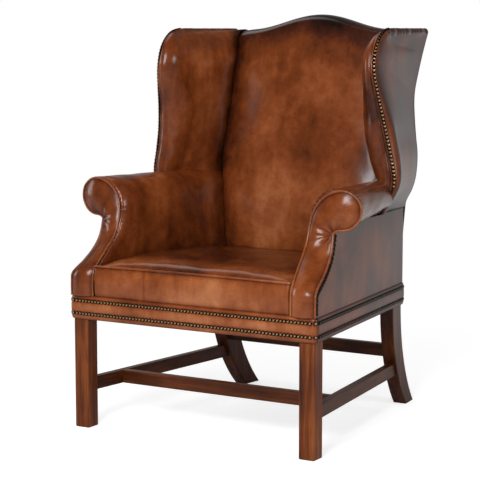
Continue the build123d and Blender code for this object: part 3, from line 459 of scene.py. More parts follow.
def curve_between(t, start, leaving, end, arriving):
    """Hermite cubic from start to end as t goes from 0 to 1, with these slopes at its ends."""
    return ((1 + 2 * t) * (1 - t) ** 2 * start + t * (1 - t) ** 2 * leaving
            + t * t * (3 - 2 * t) * end + t * t * (t - 1) * arriving)


def drawn_line(points, at):
    """A smooth line through points at their own last number: Hermite cubics whose slopes are the mean of the
    neighbouring chords."""
    points = np.asarray(points, float)
    knots, values = points[:, -1], points[:, :-1]
    chord = np.diff(values, axis=0) / np.diff(knots)[:, None]
    slope = np.vstack([chord[:1], (chord[1:] + chord[:-1]) / 2, chord[-1:]])
    at = np.asarray(at, float)
    i = np.clip(np.searchsorted(knots, at) - 1, 0, len(knots) - 2)
    gap = (knots[i + 1] - knots[i])[..., None]
    t = (at - knots[i])[..., None] / gap
    return curve_between(t, values[i], gap * slope[i], values[i + 1], gap * slope[i + 1])


def raked_back(z):
    """Depth of the back of the frame at height z: upright to the arms, then leaning back by 10.6 degrees."""
    return frame_rear + np.maximum(0.0, z - 0.500) * np.tan(np.radians(10.6))


def camel_top(x):
    """Height of the top rail: level at the sides, with one cosine hump in the middle."""
    return top_level + 0.0405 * (1 + np.cos(np.pi * np.clip(np.abs(x) / 0.215, 0, 1))) / 2


side_share = crowded(96)[:, None]
top_at = camel_top(side_share * back_half) - 0.010 * np.abs(side_share) ** 10
roll_foot = top_at - top_roll
rise_share = np.linspace(0, 1, 90)
front_z = back_foot + (roll_foot - back_foot) * rise_share
line = drawn_line(crease, front_z)
padding = (0.026 + 0.009 * np.sin(np.pi * rise_share)) * (1 - np.abs(side_share) ** 4.5) ** 0.6
tuck = 0.022 * np.exp(-(front_z - back_foot) / 0.022)
front = points_at(side_share * (line[..., 0] + 0.004), line[..., 1] - padding + tuck, front_z)
front = stuffed(front, 0.0007 * eased(1.0, 0.80, rise_share))
over = np.linspace(0, np.pi, 26)[1:]
near, far = front[:, -1:, 1], raked_back(roll_foot) + 0.002
roll = points_at(front[:, -1:, 0], (near + far) / 2 - (far - near) / 2 * np.cos(over),
                 roll_foot + top_roll * np.sin(over) ** 0.9)
lip_z = roll_foot - back_lip * np.linspace(0, 1, 6)[1:]
lip = points_at(front[:, -1:, 0], raked_back(lip_z) + 0.002, lip_z)
# the rear side, unseen between the posts, goes down in two steps
inner = points_at(front[:, :1, 0], np.array([0.285, 0.225]), np.array([0.90, back_foot]))
rows = np.concatenate([front, roll, lip, inner], axis=1)
x, z = rows[..., 0], rows[..., 2]
# The inside back is painted darker along both side creases and at its foot by the seat (painted shade), and lighter
# towards the right (a painted highlight). It is also darker within 75 mm of the top, most in the middle, darker
# towards the top, and lighter low down, most in the middle and not at all on the right.
crest_dark_share = 0.25 + 0.75 * bell(0.05, 0.11, x)
wear_and_shading = 0.06 - 0.75 * np.abs(side_share) ** 6 - 0.5 * np.exp(-(z - back_foot) / 0.030)
wear_and_shading = wear_and_shading - 0.65 * eased(0.075, 0.0, top_at - z) * crest_dark_share + 0.12 * eased(0.0, 0.20, x) - 0.38 * eased(0.93, 1.03, z)
wear_and_shading = wear_and_shading + eased(0.74, 0.58, z) * (0.55 - 0.55 * eased(0.02, 0.14, x) - 0.35 * eased(-0.08, -0.18, x))
inside_back = sewn("inside_back_hide", rows, hide, around=True, capped=True, rub_and_shading=wear_and_shading)
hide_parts("inside_back")

# Inside arms: hide over hair padding, in one sweep up from the seat, over the rolled top and under it,
# gathered a little where it is sewn to the arm fronts.

arm_top, arm_foot, arm_thick, arm_rear = 0.668, 0.405, 0.066, 0.238
scroll_face, roll_rear, neck_z, facing_foot = -0.2605, 0.048, 0.556, 0.3615
bow_height = 1.06
# depth of the arm's front edge by height, on its inner and on its outer side
inner_sweep = [(-0.386, 0.3615), (-0.386, 0.405), (-0.382, 0.428), (-0.366, 0.449), (-0.337, 0.478), (-0.306, 0.508),
               (-0.2845, 0.540), (-0.2715, 0.580), (-0.2640, 0.620), (-0.2605, 0.668)]
outer_sweep = [(-0.386, 0.3615), (-0.386, 0.402), (-0.383, 0.420), (-0.368, 0.432), (-0.340, 0.449), (-0.308, 0.473),
               (-0.283, 0.500), (-0.270, 0.527), (-0.2625, 0.556)]


def roll_size(y):
    """Radius of the arm's roll and its overhang beyond the frame, which both shrink evenly to the rear."""
    share = np.clip((y - scroll_face) / 0.280, 0, 1)
    return 0.0505 - 0.0105 * share, 0.0735 - 0.0195 * share


def arm_outline(y, leg, angle):
    """x and z of the arm's section at depth y. leg goes from 0 to 1 up the straight inner side, and angle on from
    there: a quarter of an ellipse to the top and a circle round the roll."""
    radius, reach = roll_size(y)
    inside = half_width(y) - arm_thick + 0.0045 * eased(-0.36, -0.27, y)
    bow = half_width(y) + reach - radius - inside
    crest = arm_top + 0.014 * eased(0.03, 0.22, y)
    side_z = arm_foot + (crest - bow_height * bow - arm_foot) * leg
    lean = eased(-0.10, 0.19, y) * (np.clip(side_z, 0.43, 0.60) - 0.520) * 0.16
    shoulder = np.clip(angle, 0, np.pi / 2)
    around = np.clip(angle - np.pi / 2, 0, np.pi)
    x = inside + lean * np.cos(shoulder) + bow * (1 - np.cos(shoulder)) + radius * np.sin(around)
    return x, side_z + bow_height * bow * np.sin(shoulder) - radius * (1 - np.cos(around))


def face_depth(x, z, angle):
    """Depth of the arm's front round its section: the inner sweep up to the top, then a scroll turned a little out."""
    rising = drawn_line(inner_sweep, np.clip(z, facing_foot, arm_top))[..., 0]
    return np.where(angle < np.pi / 2, rising, scroll_face + 0.18 * np.maximum(0.0, x - 0.372))


side_count, roll_count = 34, 70
leg = np.concatenate([np.linspace(0, 1, side_count), np.ones(roll_count)])
angle = np.concatenate([np.zeros(side_count), np.linspace(0, 1.5 * np.pi, roll_count + 1)[1:]])
start_x, start_z = arm_outline(scroll_face, leg, angle)
start_y = face_depth(start_x, start_z, angle) + 0.002
end_y = arm_rear - (arm_rear - roll_rear) * eased(1.9, 3.1, angle)
share = np.linspace(0, 1, 84)[:, None]
arm_y = start_y + (end_y - start_y) * share
arm_x, arm_z = arm_outline(arm_y, leg, angle)
rows = points_at(arm_x, arm_y, arm_z)
normal = -square_to(rows)
girth = passed_on(np.column_stack([arm_x[0], arm_z[0]]))
past_welt = arm_y - start_y
gather = 0.0018 * np.exp(-past_welt / 0.024) * np.sin(2 * np.pi * girth / 0.012 + 2.2 * np.sin(girth / 0.03))
settle = 0.0125 * (1 - np.clip(past_welt / 0.034, 0, 1)) ** 2 - 0.0115 * np.exp(-past_welt / 0.22)
settle = settle * (0.2 + 0.8 * eased(0.43, 0.54, arm_z)) - 0.0045 * np.exp(-past_welt / 0.060)
rows = stuffed(rows, 0.0010) + normal * (gather - settle * eased(1.7, 0.7, angle))[..., None]
side_z = start_z[:side_count]
hidden_y = drawn_line(outer_sweep, np.clip(side_z, facing_foot, neck_z))[:, 0] + 0.006
wall_y = (hidden_y + (end_y[:side_count] - hidden_y) * share)[:, ::-1]
wall = points_at(half_width(wall_y) - 0.020, wall_y, side_z[::-1])
rows = np.concatenate([rows, wall], axis=1)


def folded_end(y, depth):
    """The end row of an arm, drawn together: both sides on one upright line, and the roll on its middle."""
    radius, overhang = roll_size(depth)
    heart = np.array([half_width(depth) + overhang - radius, depth, arm_top - radius])
    upright = points_at(half_width(y) - 0.045, y, side_z)
    over = upright[-1] + (heart - upright[-1]) * np.clip(np.linspace(0, 3, roll_count), 0, 1)[:, None]
    return np.vstack([upright, over, upright[::-1]])[None]


rows = np.concatenate([folded_end(hidden_y, scroll_face + 0.014), rows, folded_end(end_y[:side_count], roll_rear)])
# The inside arm is painted lighter in a band beside the welt (a painted highlight), and darker under the roll, along
# the seat and at its rear end by the back (painted shade). It is also slightly lighter along the top of the roll and
# lighter on its inner side towards the rear.
wear_and_shading = -0.11 + 0.08 * bell(1.7, 0.7, angle) + 0.10 * np.exp(-past_welt / 0.030) - 0.6 * eased(3.6, 4.6, angle)
wear_and_shading = wear_and_shading + (0.20 * eased(0.0, 0.12, arm_y) - 0.75 * eased(0.165, 0.225, arm_y)) * (angle < 1.4)
wear_and_shading = wear_and_shading - 0.5 * np.exp(-np.abs(arm_z - 0.440) / 0.016) * (angle == 0)
wear_and_shading = np.concatenate([wear_and_shading, np.full(wall.shape[:2], unseen)], axis=1)
wear_and_shading = np.pad(wear_and_shading, ((1, 1), (0, 0)), mode="edge")
both_sides = (("right", np.array([1.0, 1.0, 1.0])), ("left", np.array([-1.0, 1.0, 1.0])))
for side, turned in both_sides:
    inside_arm = sewn(f"inside_arm_hide_{side}", rows * turned, hide, around=True, rub_and_shading=wear_and_shading)
    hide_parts(f"inside_arm_{side}")

# Arm fronts: a padded facing on each arm, shaped like the arm's section and swept forward to the knee,
# with a welt all round and pleats drawn into the neck under the scroll.

strip_count, quarter_count, half_count, turn_in = 90, 25, 49, 30
pleat_depth = 0.0034


def sweep_edge(marks, top, x_offset):
    """One long edge of the facing: the sweep by height on the line of the frame, this far outside it below
    the knee, evenly spaced along itself."""
    z = np.linspace(facing_foot, top, 400)
    y = drawn_line(marks, z)[:, 0]
    line = points_at(half_width(y) + x_offset * eased(0.445, 0.415, z), y, z)
    passed = passed_on(line)
    return spots_on(line, passed, np.linspace(0, passed[-1], strip_count))


quarter = np.linspace(0, np.pi / 2, quarter_count + 1)[1:]
half_turn = np.linspace(np.pi / 2, 1.5 * np.pi, half_count + 1)[1:]
shoulder_x, shoulder_z = arm_outline(scroll_face, 1.0, quarter)
scroll_x, scroll_z = arm_outline(scroll_face, 1.0, half_turn)
shoulder = points_at(shoulder_x, face_depth(shoulder_x, shoulder_z, 0 * quarter), shoulder_z)
scroll = points_at(scroll_x, face_depth(scroll_x, scroll_z, half_turn), scroll_z)
inner_strip = sweep_edge(inner_sweep, arm_outline(scroll_face, 1.0, 0.0)[1], 0.0)
inner_strip[:, 0] -= arm_thick
outer_strip = sweep_edge(outer_sweep, neck_z, 0.0025)
spine_strip = (inner_strip + outer_strip) / 2
inner_strip[-turn_in:, 0] += (shoulder[0, 0] - inner_strip[-1, 0]) * eased(0, 1, np.linspace(0, 1, turn_in))
radius, overhang = roll_size(scroll_face)
hub = np.array([half_width(scroll_face) + overhang - radius, scroll_face, arm_top - radius])
neck, scroll_end = outer_strip[-1], scroll[-1]
under_turn = np.linspace(0, np.pi / 2, quarter_count + 1)[1:-1]
underside = points_at(scroll_end[0] - (scroll_end[0] - neck[0]) * np.sin(under_turn),
                      scroll_end[1] + (neck[1] - scroll_end[1]) * np.sin(under_turn),
                      neck[2] + (scroll_end[2] - neck[2]) * np.cos(under_turn))
spine_turn = spine_strip[-1] + (hub - spine_strip[-1]) * np.linspace(0, 1, quarter_count + 1)[1:, None]
edge = np.vstack([inner_strip, shoulder, scroll, underside, outer_strip[::-1]])
# the turn from the sweep into the scroll is eased by averaging neighbours
bend_from, bend_to = 55, 130
for _ in range(30):
    bent = edge[bend_from - 1:bend_to + 1]
    edge[bend_from:bend_to] = (bent[:-2] + 2 * bent[1:-1] + bent[2:]) / 4
spine = np.vstack([spine_strip, spine_turn, np.repeat(hub[None], half_count, axis=0), spine_turn[-2::-1],
                   spine_strip[::-1]])
strip_out = unit(np.cross(outer_strip - inner_strip, np.gradient(spine_strip, axis=0)))
ahead = np.array([[0.12, -0.99, 0.0]])
strip_out[-turn_in:] += (ahead - strip_out[-turn_in:]) * np.linspace(0, 1, turn_in)[:, None]
out_way = np.vstack([strip_out, np.repeat(ahead, len(edge) - 2 * strip_count, axis=0), strip_out[::-1]])
out_way = unit(out_way)

reach_in = np.linspace(0, 1, 26)
inwards = edge[:, None, :] + (spine - edge)[:, None, :] * reach_in[None, :, None]
from_neck = inwards - neck
near_neck = np.linalg.norm(from_neck, axis=2)
fan = np.arctan2(from_neck[..., 2], -from_neck[..., 0])
drawn = np.exp(-near_neck / 0.024) * (1 - np.exp(-near_neck / 0.006))
pleat = drawn * np.sin(8.0 * fan + 1.2 * np.sin(2.1 * fan)) * eased(0.0, 0.25, reach_in)
puff = 0.012 * (1 - (1 - reach_in) ** 2.4) - 0.0030 * np.exp(-near_neck / 0.020) * eased(0.0, 0.3, reach_in)
face = inwards + out_way[:, None, :] * (puff + pleat_depth * pleat)[..., None]
back_side = inwards[:, ::-1] - out_way[:, None, :] * 0.012
rows = np.concatenate([back_side, face], axis=1)
# The facing is painted darker along its edges beside the welt, in the neck under the scroll and along fine crease
# lines fanning from the neck (painted shade). Its pleats are painted lighter on their crests and darker in their
# hollows (painted light and shade).
painted_crease_lines = np.clip(np.sin(11 * fan + 1.5 * np.sin(2.3 * fan)), 0, 1) ** 4 * eased(0.0, 0.2, reach_in)
face_shading = 0.12 - np.exp(-reach_in * 9.0) - 0.35 * np.exp(-near_neck / 0.016) + 0.4 * pleat
face_shading = face_shading - 0.5 * np.exp(-near_neck / 0.030) * painted_crease_lines
wear_and_shading = np.concatenate([np.full(back_side.shape[:2], unseen), face_shading], axis=1)
welt_line = edge + out_way * 0.0012
for side, turned in both_sides:
    arm_front = sewn(f"arm_front_hide_{side}", rows * turned, hide, capped=True, rub_and_shading=wear_and_shading)
    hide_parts(f"arm_front_{side}")
    piping(f"arm_front_welt_{side}", welt_line * turned, hide, guide=out_way * turned)

# Outside arms: a flat panel of hide on each side, nailed along the arm front,
# turned in under the roll and down to the band.

panel_low, panel_high, panel_rear = 0.358, 0.5745, 0.2715
first_nail, last_nail, nail_margin = 0.010, 0.004, 0.0090

panel_z = np.linspace(panel_low, panel_high, 60)[:, None]
panel_share = np.linspace(0, 1, 80)
begin = np.interp(panel_z, outer_strip[:, 2], outer_strip[:, 1]) + 0.003
panel_y = begin + (panel_rear - begin) * panel_share
lift = 4 * panel_share * (1 - panel_share)
billow = 0.0045 * lift * np.sin(np.pi * (panel_z - panel_low) / (panel_high - panel_low))
outer = points_at(half_width(panel_y) + 0.0028 + billow, panel_y, panel_z)
hidden = outer[:, ::-1].copy()
hidden[..., 0] = half_width(hidden[..., 1]) - 0.001
rows = np.concatenate([outer, hidden], axis=1)
# The outside arm panel is painted darker beside its nailed front edge and under the arm's roll: painted shade.
flat = -0.28 - 0.4 * np.exp(-(panel_y - begin) / 0.012) - 0.5 * np.exp(-(panel_high - panel_z) / 0.012)
wear_and_shading = np.concatenate([flat, flat[:, ::-1]], axis=1)
spaced = passed_on(outer_strip)
nail_count = int((spaced[-1] - first_nail - last_nail) / nail_pitch)
nail_run = np.linspace(first_nail, spaced[-1] - last_nail, nail_count)
rising = unit(np.gradient(outer_strip[:, 1:], axis=0))
inset = outer_strip[:, 1:] + nail_margin * np.column_stack([rising[:, 1], -rising[:, 0]])
nail_y, nail_z = spots_on(inset, spaced, nail_run).T
arm_seats = points_at(half_width(nail_y) + 0.0036, nail_y, nail_z)
arm_facing = np.array([1.0, -0.15, 0.0])
for side, turned in both_sides:
    outside_arm = sewn(f"outside_arm_hide_{side}", rows * turned, outer_hide, around=True, capped=True, rub_and_shading=wear_and_shading)
    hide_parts(f"outside_arm_{side}")
    nail_heads(f"arm_nails_{side}", arm_seats * turned, np.broadcast_to(arm_facing * turned, arm_seats.shape))

# Wings: hide over a thickly stuffed edge, from the crease beside the back, round a fat roll at the front and
# top and out to the nails. The roll curls round the arm's roll at its foot.

# x, y and z along the row of nails, from under the arm's roll up the front and back along the top
nail_line = np.array([(0.336, 0.040, 0.578), (0.352, 0.034, 0.600), (0.370, 0.030, 0.630), (0.3800, 0.031, 0.664),
                      (0.3720, 0.031, 0.722), (0.3610, 0.026, 0.782), (0.3515, 0.014, 0.845), (0.3430, -0.003, 0.915),
                      (0.3380, -0.011, 0.962), (0.3365, -0.001, 1.008), (0.3355, 0.019, 1.038), (0.334, 0.050, 1.0600),
                      (0.331, 0.096, 1.0690), (0.325, 0.180, 1.070), (0.319, 0.270, 1.070), (0.312, 0.366, 1.070)])
# x, y and z along the crease, and the share of the nailed edge that each point lies across from
inner_line = np.array([(0.264, 0.208, 0.600), (0.2630, 0.220, 0.687), (0.2585, 0.243, 0.790), (0.2575, 0.263, 0.879),
                       (0.256, 0.285, 0.978), (0.257, 0.306, 1.054), (0.258, 0.320, 1.066), (0.262, 0.366, 1.066)])
inner_share = np.array([0.0, 0.15, 0.29, 0.40, 0.52, 0.61, 0.69, 1.0])
edge_count, face_count, nose_count = 170, 44, 96
nail_bend, groove = 0.36, 0.0098
lowest_nail, rear_nail = 0.655, 0.10

edge_run = passed_on(nail_line)
at = np.linspace(0, edge_run[-1], edge_count)
up_edge = at / edge_run[-1]
nails = drawn_line(np.column_stack([nail_line, edge_run]), at)
root = drawn_line(np.column_stack([inner_line, inner_share * edge_run[-1]]), at)
along = unit(np.gradient(nails, axis=0))
sideward = np.array([1.0, 0.34, 0.0])
away = unit(sideward - along * (along @ sideward)[:, None])
reach = np.cross(away, along)
thick = (0.0180 + 0.0130 * eased(0.06, 0.20, up_edge) - 0.0090 * eased(0.28, 0.48, up_edge)
         - 0.0130 * eased(0.53, 0.68, up_edge))
plump = thick + 0.013 * eased(0.06, 0.18, up_edge) * eased(0.52, 0.30, up_edge)
deep = (1.15 + 0.9 * eased(0.24, 0.38, up_edge) * eased(0.62, 0.50, up_edge)) * plump
upright = eased(0.69, 0.47, up_edge)
nail_way = away * np.sin(nail_bend) + reach * np.cos(nail_bend)
core = nails - thick[:, None] * nail_way
bend = np.linspace(-np.pi / 2, np.pi / 2, nose_count)[:, None]
from_nail = (nail_bend - bend) * thick
pillow = 0.0090 * (1 - np.exp(-np.clip(from_nail - groove, 0, None) / 0.014))
pillow = pillow - 0.0018 * bell(groove, 0.0018, from_nail)
fold = pillow * upright + 0.0006 * bell(0.0055, 0.0024, from_nail) - 0.0014 * bell(0.0, 0.0030, from_nail)
fold = fold - 0.0045 * eased(nail_bend + 0.05, nail_bend + 0.30, bend)
sideways = (np.where(bend < 0, plump, thick) + fold) * np.sin(bend)
forward = np.where(bend < 0, deep * np.cos(bend) - (deep - thick), thick * np.cos(bend)) + fold * np.cos(bend)
nose = core + forward[..., None] * reach + sideways[..., None] * away
inner_edge = nose[0]
width = np.linspace(0, 1, face_count)[:, None, None]
spans = np.linalg.norm(inner_edge - root, axis=1) * (0.2 + 0.8 * eased(0.12, 0.32, up_edge)) * upright
bulge = 0.105 * spans[:, None] * (1 - np.exp(-width / 0.24)) * np.cos(np.pi * width / 2) ** 2
inner_face = root + (inner_edge - root) * width - away * bulge
padded_part = np.concatenate([inner_face, nose[1:]])
# averaged up and down the edge, from the crease as far as the front of the roll, less often near the nails
most_rows = 90
for step in range(24):
    part = padded_part[:most_rows - step]
    part[:, 1:-1] = (part[:, :-2] + 2 * part[:, 1:-1] + part[:, 2:]) / 4
flank_run = np.linspace(0, 0.016, 6)[1:, None, None]
flank = nose[-1] - reach * flank_run - away * flank_run * 0.45
rows = np.concatenate([stuffed(padded_part, 0.0013), flank]).transpose(1, 0, 2)
near_root = np.concatenate([width[:, 0, 0], np.ones(nose_count - 1 + len(flank))])
# The inner face is painted darker in the crease by the back (painted shade) and lighter across its middle. Beside the
# nails a narrow lighter strip is a painted highlight, and the nail line and the groove are painted darker (painted
# shade).
wear_and_shading = np.tile(0.12 - np.exp(-near_root / 0.11) + 0.66 * np.sin(np.pi * near_root), (edge_count, 1))
nail_edge_shading = (0.25 * bell(0.0060, 0.0022, from_nail) - 0.9 * bell(0.0, 0.0040, from_nail)
          - 0.45 * bell(groove, 0.0015, from_nail))
wear_and_shading[:, face_count:face_count + nose_count - 1] += nail_edge_shading[1:].T
z = rows[..., 2]
# The roll is darker below its top corner. The inner face is painted darker at its top and low down by the arm (painted
# shade).
wear_and_shading -= 0.32 * eased(0.80, 1.0, near_root) * eased(0.97, 0.88, z)
wear_and_shading -= (0.60 * eased(0.985, 1.04, z) + 0.40 * eased(0.80, 0.73, z)) * eased(1.0, 0.6, near_root)
hammered = nails + nail_way * 0.0006
kept = (at > np.interp(lowest_nail, nail_line[:9, 2], edge_run[:9])) & (hammered[:, 1] < rear_nail)
nail_run = np.arange(at[kept][0], at[kept][-1], nail_pitch)
wing_seats, wing_facing = spots_on(hammered, at, nail_run), spots_on(nail_way, at, nail_run)
for side, turned in both_sides:
    inside_wing = sewn(f"inside_wing_hide_{side}", rows * turned, hide, around=True, capped=True, rub_and_shading=wear_and_shading)
    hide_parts(f"inside_wing_{side}")
    nail_heads(f"wing_nails_{side}", wing_seats * turned, wing_facing * turned)

# Outside wings: a panel of hide from the nailed edge to the back corner, pulled smooth below and gathered
# where it turns over the top. It ends in a seam under the arm's roll.

# x and y of the rear corner of the side, by height
rear_corner = [(0.2915, 0.2825, 0.560), (0.2960, 0.2880, 0.592), (0.3090, 0.2930, 0.6206), (0.3165, 0.2985, 0.650),
               (0.3185, 0.3040, 0.680), (0.3160, 0.3125, 0.725), (0.3080, 0.3200, 0.765), (0.2995, 0.3285, 0.812),
               (0.2920, 0.3385, 0.865), (0.2910, 0.3440, 0.895), (0.2970, 0.3545, 0.950), (0.3040, 0.3635, 0.998),
               (0.3160, 0.3755, 1.0635)]
corner_low, corner_high, wrap_count = 0.575, 1.0635, 18
ruffle_depth, hide_thick, tuck_z = 0.0018, 0.004, 0.570
# the seam rows under the arm's roll and the tucked row are painted dark: painted shade
seam_rows, seam_shade, tuck_shade = 3, -1.0, -1.2

corner_share = np.interp(up_edge, [0.0, 0.62, 0.78, 1.0], [0.0, 0.86, 0.96, 1.0])
rear_z = corner_low + (corner_high - corner_low) * corner_share
rear_line = np.column_stack([drawn_line(rear_corner, rear_z), rear_z])
full = eased(0.24, 0.42, up_edge) * eased(0.66, 0.56, up_edge)
wrap = np.linspace(nail_bend + 0.10, np.pi / 2 + 0.15 - 0.90 * full, wrap_count)[..., None]
trail = (1 + full)[:, None]
behind = np.cos(wrap[:1]) - trail * (np.cos(wrap[:1]) - np.cos(wrap))
wrapped = core + (thick[:, None] + 0.0012) * (behind * reach + np.sin(wrap) * away)
leaving = unit(np.cos(wrap[-1]) * away - trail * np.sin(wrap[-1]) * reach)
to_corner = rear_line - wrapped[-1]
span = np.linalg.norm(to_corner, axis=1)[:, None]
width = np.linspace(0, 1, 54)[1:, None, None]
panel = np.concatenate([wrapped, curve_between(width, wrapped[-1], leaving * span * 0.45, rear_line, to_corner)])
panel[..., 2] = np.maximum(panel[..., 2], 0.5735)
sheet_out = square_to(panel)
sheet_out *= np.sign((sheet_out * away).sum(axis=2, keepdims=True))
top_part = eased(0.60, 0.70, up_edge)
from_nails = np.concatenate([np.linspace(0, 0.03, wrap_count), 0.03 + 0.25 * width[:, 0, 0]])[:, None]
ruffle = (0.8 + np.sin(at / 0.0042 + 2.4 * np.sin(at / 0.017))) * bell(0.032, 0.022, from_nails) * top_part
panel = panel + sheet_out * ruffle_depth * ruffle[..., None]
rows = np.concatenate([panel, (panel - sheet_out * hide_thick)[::-1]]).transpose(1, 0, 2)
tucked = rows[:1].copy()
tucked[..., 0] = np.minimum(tucked[..., 0], half_width(tucked[..., 1]) - 0.003)
tucked[..., 2] = tuck_z
rows = np.concatenate([tucked, rows])
# The outside wing is painted lighter in a strip just beyond the nails and on the crests of the gathers (painted
# highlight), and darker right at the nails and under the gathered top (painted shade). It is also darker along the
# rear corner.
flat = -0.42 + 0.62 * bell(0.007, 0.009, from_nails) - 0.5 * np.exp(-from_nails / 0.002)
flat = flat - 0.35 * np.exp(-(0.28 - from_nails) / 0.012)
flat = (flat + 0.22 * ruffle - 0.95 * top_part * np.exp(-from_nails / 0.05)).T
wear_and_shading = np.pad(np.concatenate([flat, flat[:, ::-1]], axis=1), ((1, 0), (0, 0)), constant_values=tuck_shade)
wear_and_shading[1:1 + seam_rows] = seam_shade
for side, turned in both_sides:
    outside_wing = sewn(f"outside_wing_hide_{side}", rows * turned, outer_hide, around=True, capped=True, rub_and_shading=wear_and_shading)
    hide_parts(f"outside_wing_{side}")

# Outside back: one hide over the whole back of the chair, blind-stitched to the sides,
# up to the lip of the inside back.

back_top, seat_corner = 1.060, half_width(0.272) + 0.002

back_rise = np.linspace(0, 1, 80)
back_level = panel_low + (back_top - panel_low) * back_rise
corner_x = drawn_line(rear_corner, np.maximum(back_level, 0.5605))[:, 0]
corner_x = np.where(back_level < corner_low, seat_corner, corner_x)
corner_x = seat_corner + (corner_x - seat_corner) * eased(0.560, 0.600, back_level)
spread = crowded(80)
back_x = corner_x[:, None] * spread
back_z = back_level[:, None] + (camel_top(back_x) - top_level) * eased(0.80, 1.0, back_rise)[:, None]
back_y = raked_back(back_z) + 0.0035 + 0.004 * (1 - spread ** 4) * np.sin(np.pi * back_rise)[:, None]
outer = points_at(back_x, back_y, back_z)
hidden = outer[:, ::-1].copy()
hidden[..., 1] -= 0.006
rows = np.concatenate([outer, hidden], axis=1)
flat = -0.02 - 0.5 * np.exp(-(1 - np.abs(spread)) / 0.03) - 0.4 * np.exp(-(1 - back_rise) / 0.03)[:, None]
wear_and_shading = np.concatenate([flat, flat[:, ::-1]], axis=1)
outside_back = sewn("outside_back_hide", rows, outer_hide, around=True, capped=True, rub_and_shading=wear_and_shading)
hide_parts("outside_back")

# Studio: a pale floor, a white surround, and four large soft lamps. The camera stands to the right of the
# front at the height of the chair's top, far away, with a long lens.

sensor, picture, focal_pixels = 36.0, 480, 1663.25
yaw, pitch = 0.5383, 0.1255
floor_half = 30


def soft_lamp(name, place, aim, size, power):
    """A lamp of this width and height that looks from its place at the aim."""
    lamp = bpy.data.lights.new(name, "AREA")
    lamp.shape = "RECTANGLE"
    lamp.size, lamp.size_y = size
    lamp.energy = power
    held = bpy.data.objects.new(name, lamp)
    held.location = place
    held.rotation_euler = (Vector(aim) - Vector(place)).to_track_quat("-Z", "Y").to_euler()
    bpy.context.scene.collection.objects.link(held)


soft_lamp("lamp_front", (0.9, -4.2, 2.75), (0.0, 0.0, 0.6), (1.6, 2.0), 190.0)
soft_lamp("lamp_left", (-3.6, -1.2, 1.25), (0.0, 0.0, 0.8), (0.9, 1.9), 30.0)
soft_lamp("lamp_top", (-1.8, 0.7, 3.3), (0.0, -0.2, 0.5), (2.0, 2.0), 21.0)
soft_lamp("lamp_right", (3.9, -0.6, 1.9), (0.0, 0.0, 0.6), (0.8, 1.2), 46.0)

# The surround is white to the camera. Glossy surfaces see it dim, with a pale sweep low behind the chair.
world = bpy.data.worlds.new("studio")
world.use_nodes = True
bpy.context.scene.world = world
sky = world.node_tree
sky_ray = add_node(sky, "ShaderNodeLightPath")
reflected = add_node(sky, "ShaderNodeMath", {0: sky_ray.outputs["Is Glossy Ray"],
                                             1: sky_ray.outputs["Is Transmission Ray"]}, operation="MAXIMUM")
heading = add_node(sky, "ShaderNodeSeparateXYZ", {0: add_node(sky, "ShaderNodeTexCoord").outputs["Generated"]})
rearward = add_node(sky, "ShaderNodeMapRange", {"Value": heading.outputs["Y"], "From Min": 0.25, "From Max": 0.85,
                                                "To Min": 0.0, "To Max": 1.0})
near_floor = add_node(sky, "ShaderNodeMapRange", {"Value": heading.outputs["Z"], "From Min": 0.12, "From Max": 0.45,
                                                  "To Min": 1.0, "To Max": 0.15})
sweep = add_node(sky, "ShaderNodeMath", {0: rearward.outputs["Result"], 1: near_floor.outputs["Result"]},
                 operation="MULTIPLY")
sweep = add_node(sky, "ShaderNodeMath", {0: sweep.outputs[0], 1: 0.50, 2: 0.09}, operation="MULTIPLY_ADD")
sky_level = add_node(sky, "ShaderNodeMix", {0: reflected.outputs[0], 2: 0.22, 3: sweep.outputs[0]})
sky_level = add_node(sky, "ShaderNodeMix", {0: sky_ray.outputs["Is Camera Ray"], 2: sky_level.outputs[0], 3: 1.0})
sky.links.new(sky_level.outputs[0], sky.nodes["Background"].inputs["Strength"])
sky.nodes["Background"].inputs["Color"].default_value = linear("#FFFFFF")

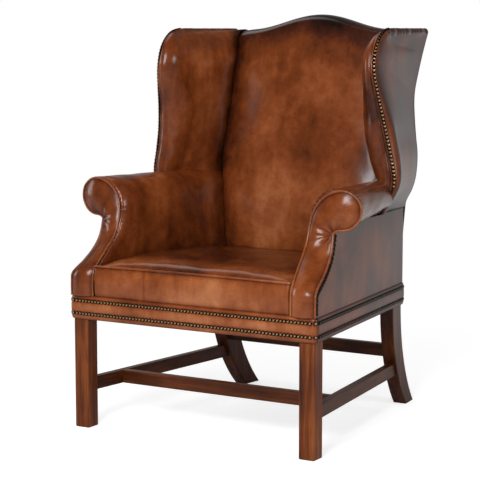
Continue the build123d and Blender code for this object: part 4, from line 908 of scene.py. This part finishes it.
# The floor is matt white paper that keeps the chair's shadow near it and fades to plain white further out.
floor_mesh = bpy.data.meshes.new("floor")
floor_mesh.from_pydata([(-floor_half, -floor_half, 0), (floor_half, -floor_half, 0), (floor_half, floor_half, 0),
                        (-floor_half, floor_half, 0)], [], [(0, 1, 2, 3)])
floor = bpy.data.objects.new("floor", floor_mesh)
bpy.context.scene.collection.objects.link(floor)
paper, tree, shader = new_finish("white_paper_sweep")
shader.inputs["Base Color"].default_value = linear("#CFCFCF")
shader.inputs["Roughness"].default_value = 0.9
shader.inputs["Specular IOR Level"].default_value = 0.0
shader.inputs["Emission Color"].default_value = linear("#FFFFFF")
place = add_node(tree, "ShaderNodeTexCoord").outputs["Object"]
from_chair = add_node(tree, "ShaderNodeVectorMath", {0: place}, operation="LENGTH").outputs["Value"]
fade = add_node(tree, "ShaderNodeMapRange", {"Value": from_chair, "From Min": 0.6, "From Max": 1.6})
rear_y = add_node(tree, "ShaderNodeSeparateXYZ", {0: place}).outputs["Y"]
rear_floor = add_node(tree, "ShaderNodeMapRange", {"Value": rear_y, "From Min": 0.4, "From Max": 1.4})
floor_ray = add_node(tree, "ShaderNodeLightPath")
seen, mirrored = floor_ray.outputs["Is Camera Ray"], floor_ray.outputs["Is Glossy Ray"]
glow_level = add_node(tree, "ShaderNodeMath", {0: mirrored, 1: -0.15, 2: 1.0}, operation="MULTIPLY_ADD")
glow = add_node(tree, "ShaderNodeEmission", {"Color": linear("#FFFFFF"), "Strength": glow_level.outputs[0]})
mirrored_rear = add_node(tree, "ShaderNodeMath", {0: rear_floor.outputs["Result"], 1: mirrored}, operation="MULTIPLY")
either = add_node(tree, "ShaderNodeMath", {0: seen, 1: mirrored_rear.outputs[0]}, operation="MAXIMUM")
shown = add_node(tree, "ShaderNodeMath", {0: fade.outputs["Result"], 1: either.outputs[0]}, operation="MULTIPLY")
sheen = add_node(tree, "ShaderNodeMath", {0: seen, 1: 0.68}, operation="MULTIPLY")
tree.links.new(sheen.outputs[0], shader.inputs["Emission Strength"])
blend = add_node(tree, "ShaderNodeMixShader", {0: shown.outputs[0], 1: shader.outputs[0], 2: glow.outputs[0]})
tree.links.new(blend.outputs[0], tree.nodes["Material Output"].inputs["Surface"])
floor_mesh.materials.append(paper)

lens = bpy.data.cameras.new("camera")
lens.sensor_width = sensor
lens.lens = sensor * focal_pixels / picture
camera = bpy.data.objects.new("camera", lens)
camera.location = (2.27778, -3.94202, 1.06542)
looks = Vector((-np.sin(yaw) * np.cos(pitch), np.cos(yaw) * np.cos(pitch), -np.sin(pitch)))
camera.rotation_euler = looks.to_track_quat("-Z", "Y").to_euler()
bpy.context.scene.collection.objects.link(camera)
bpy.context.scene.camera = camera
bpy.context.scene.view_settings.view_transform = "Standard"
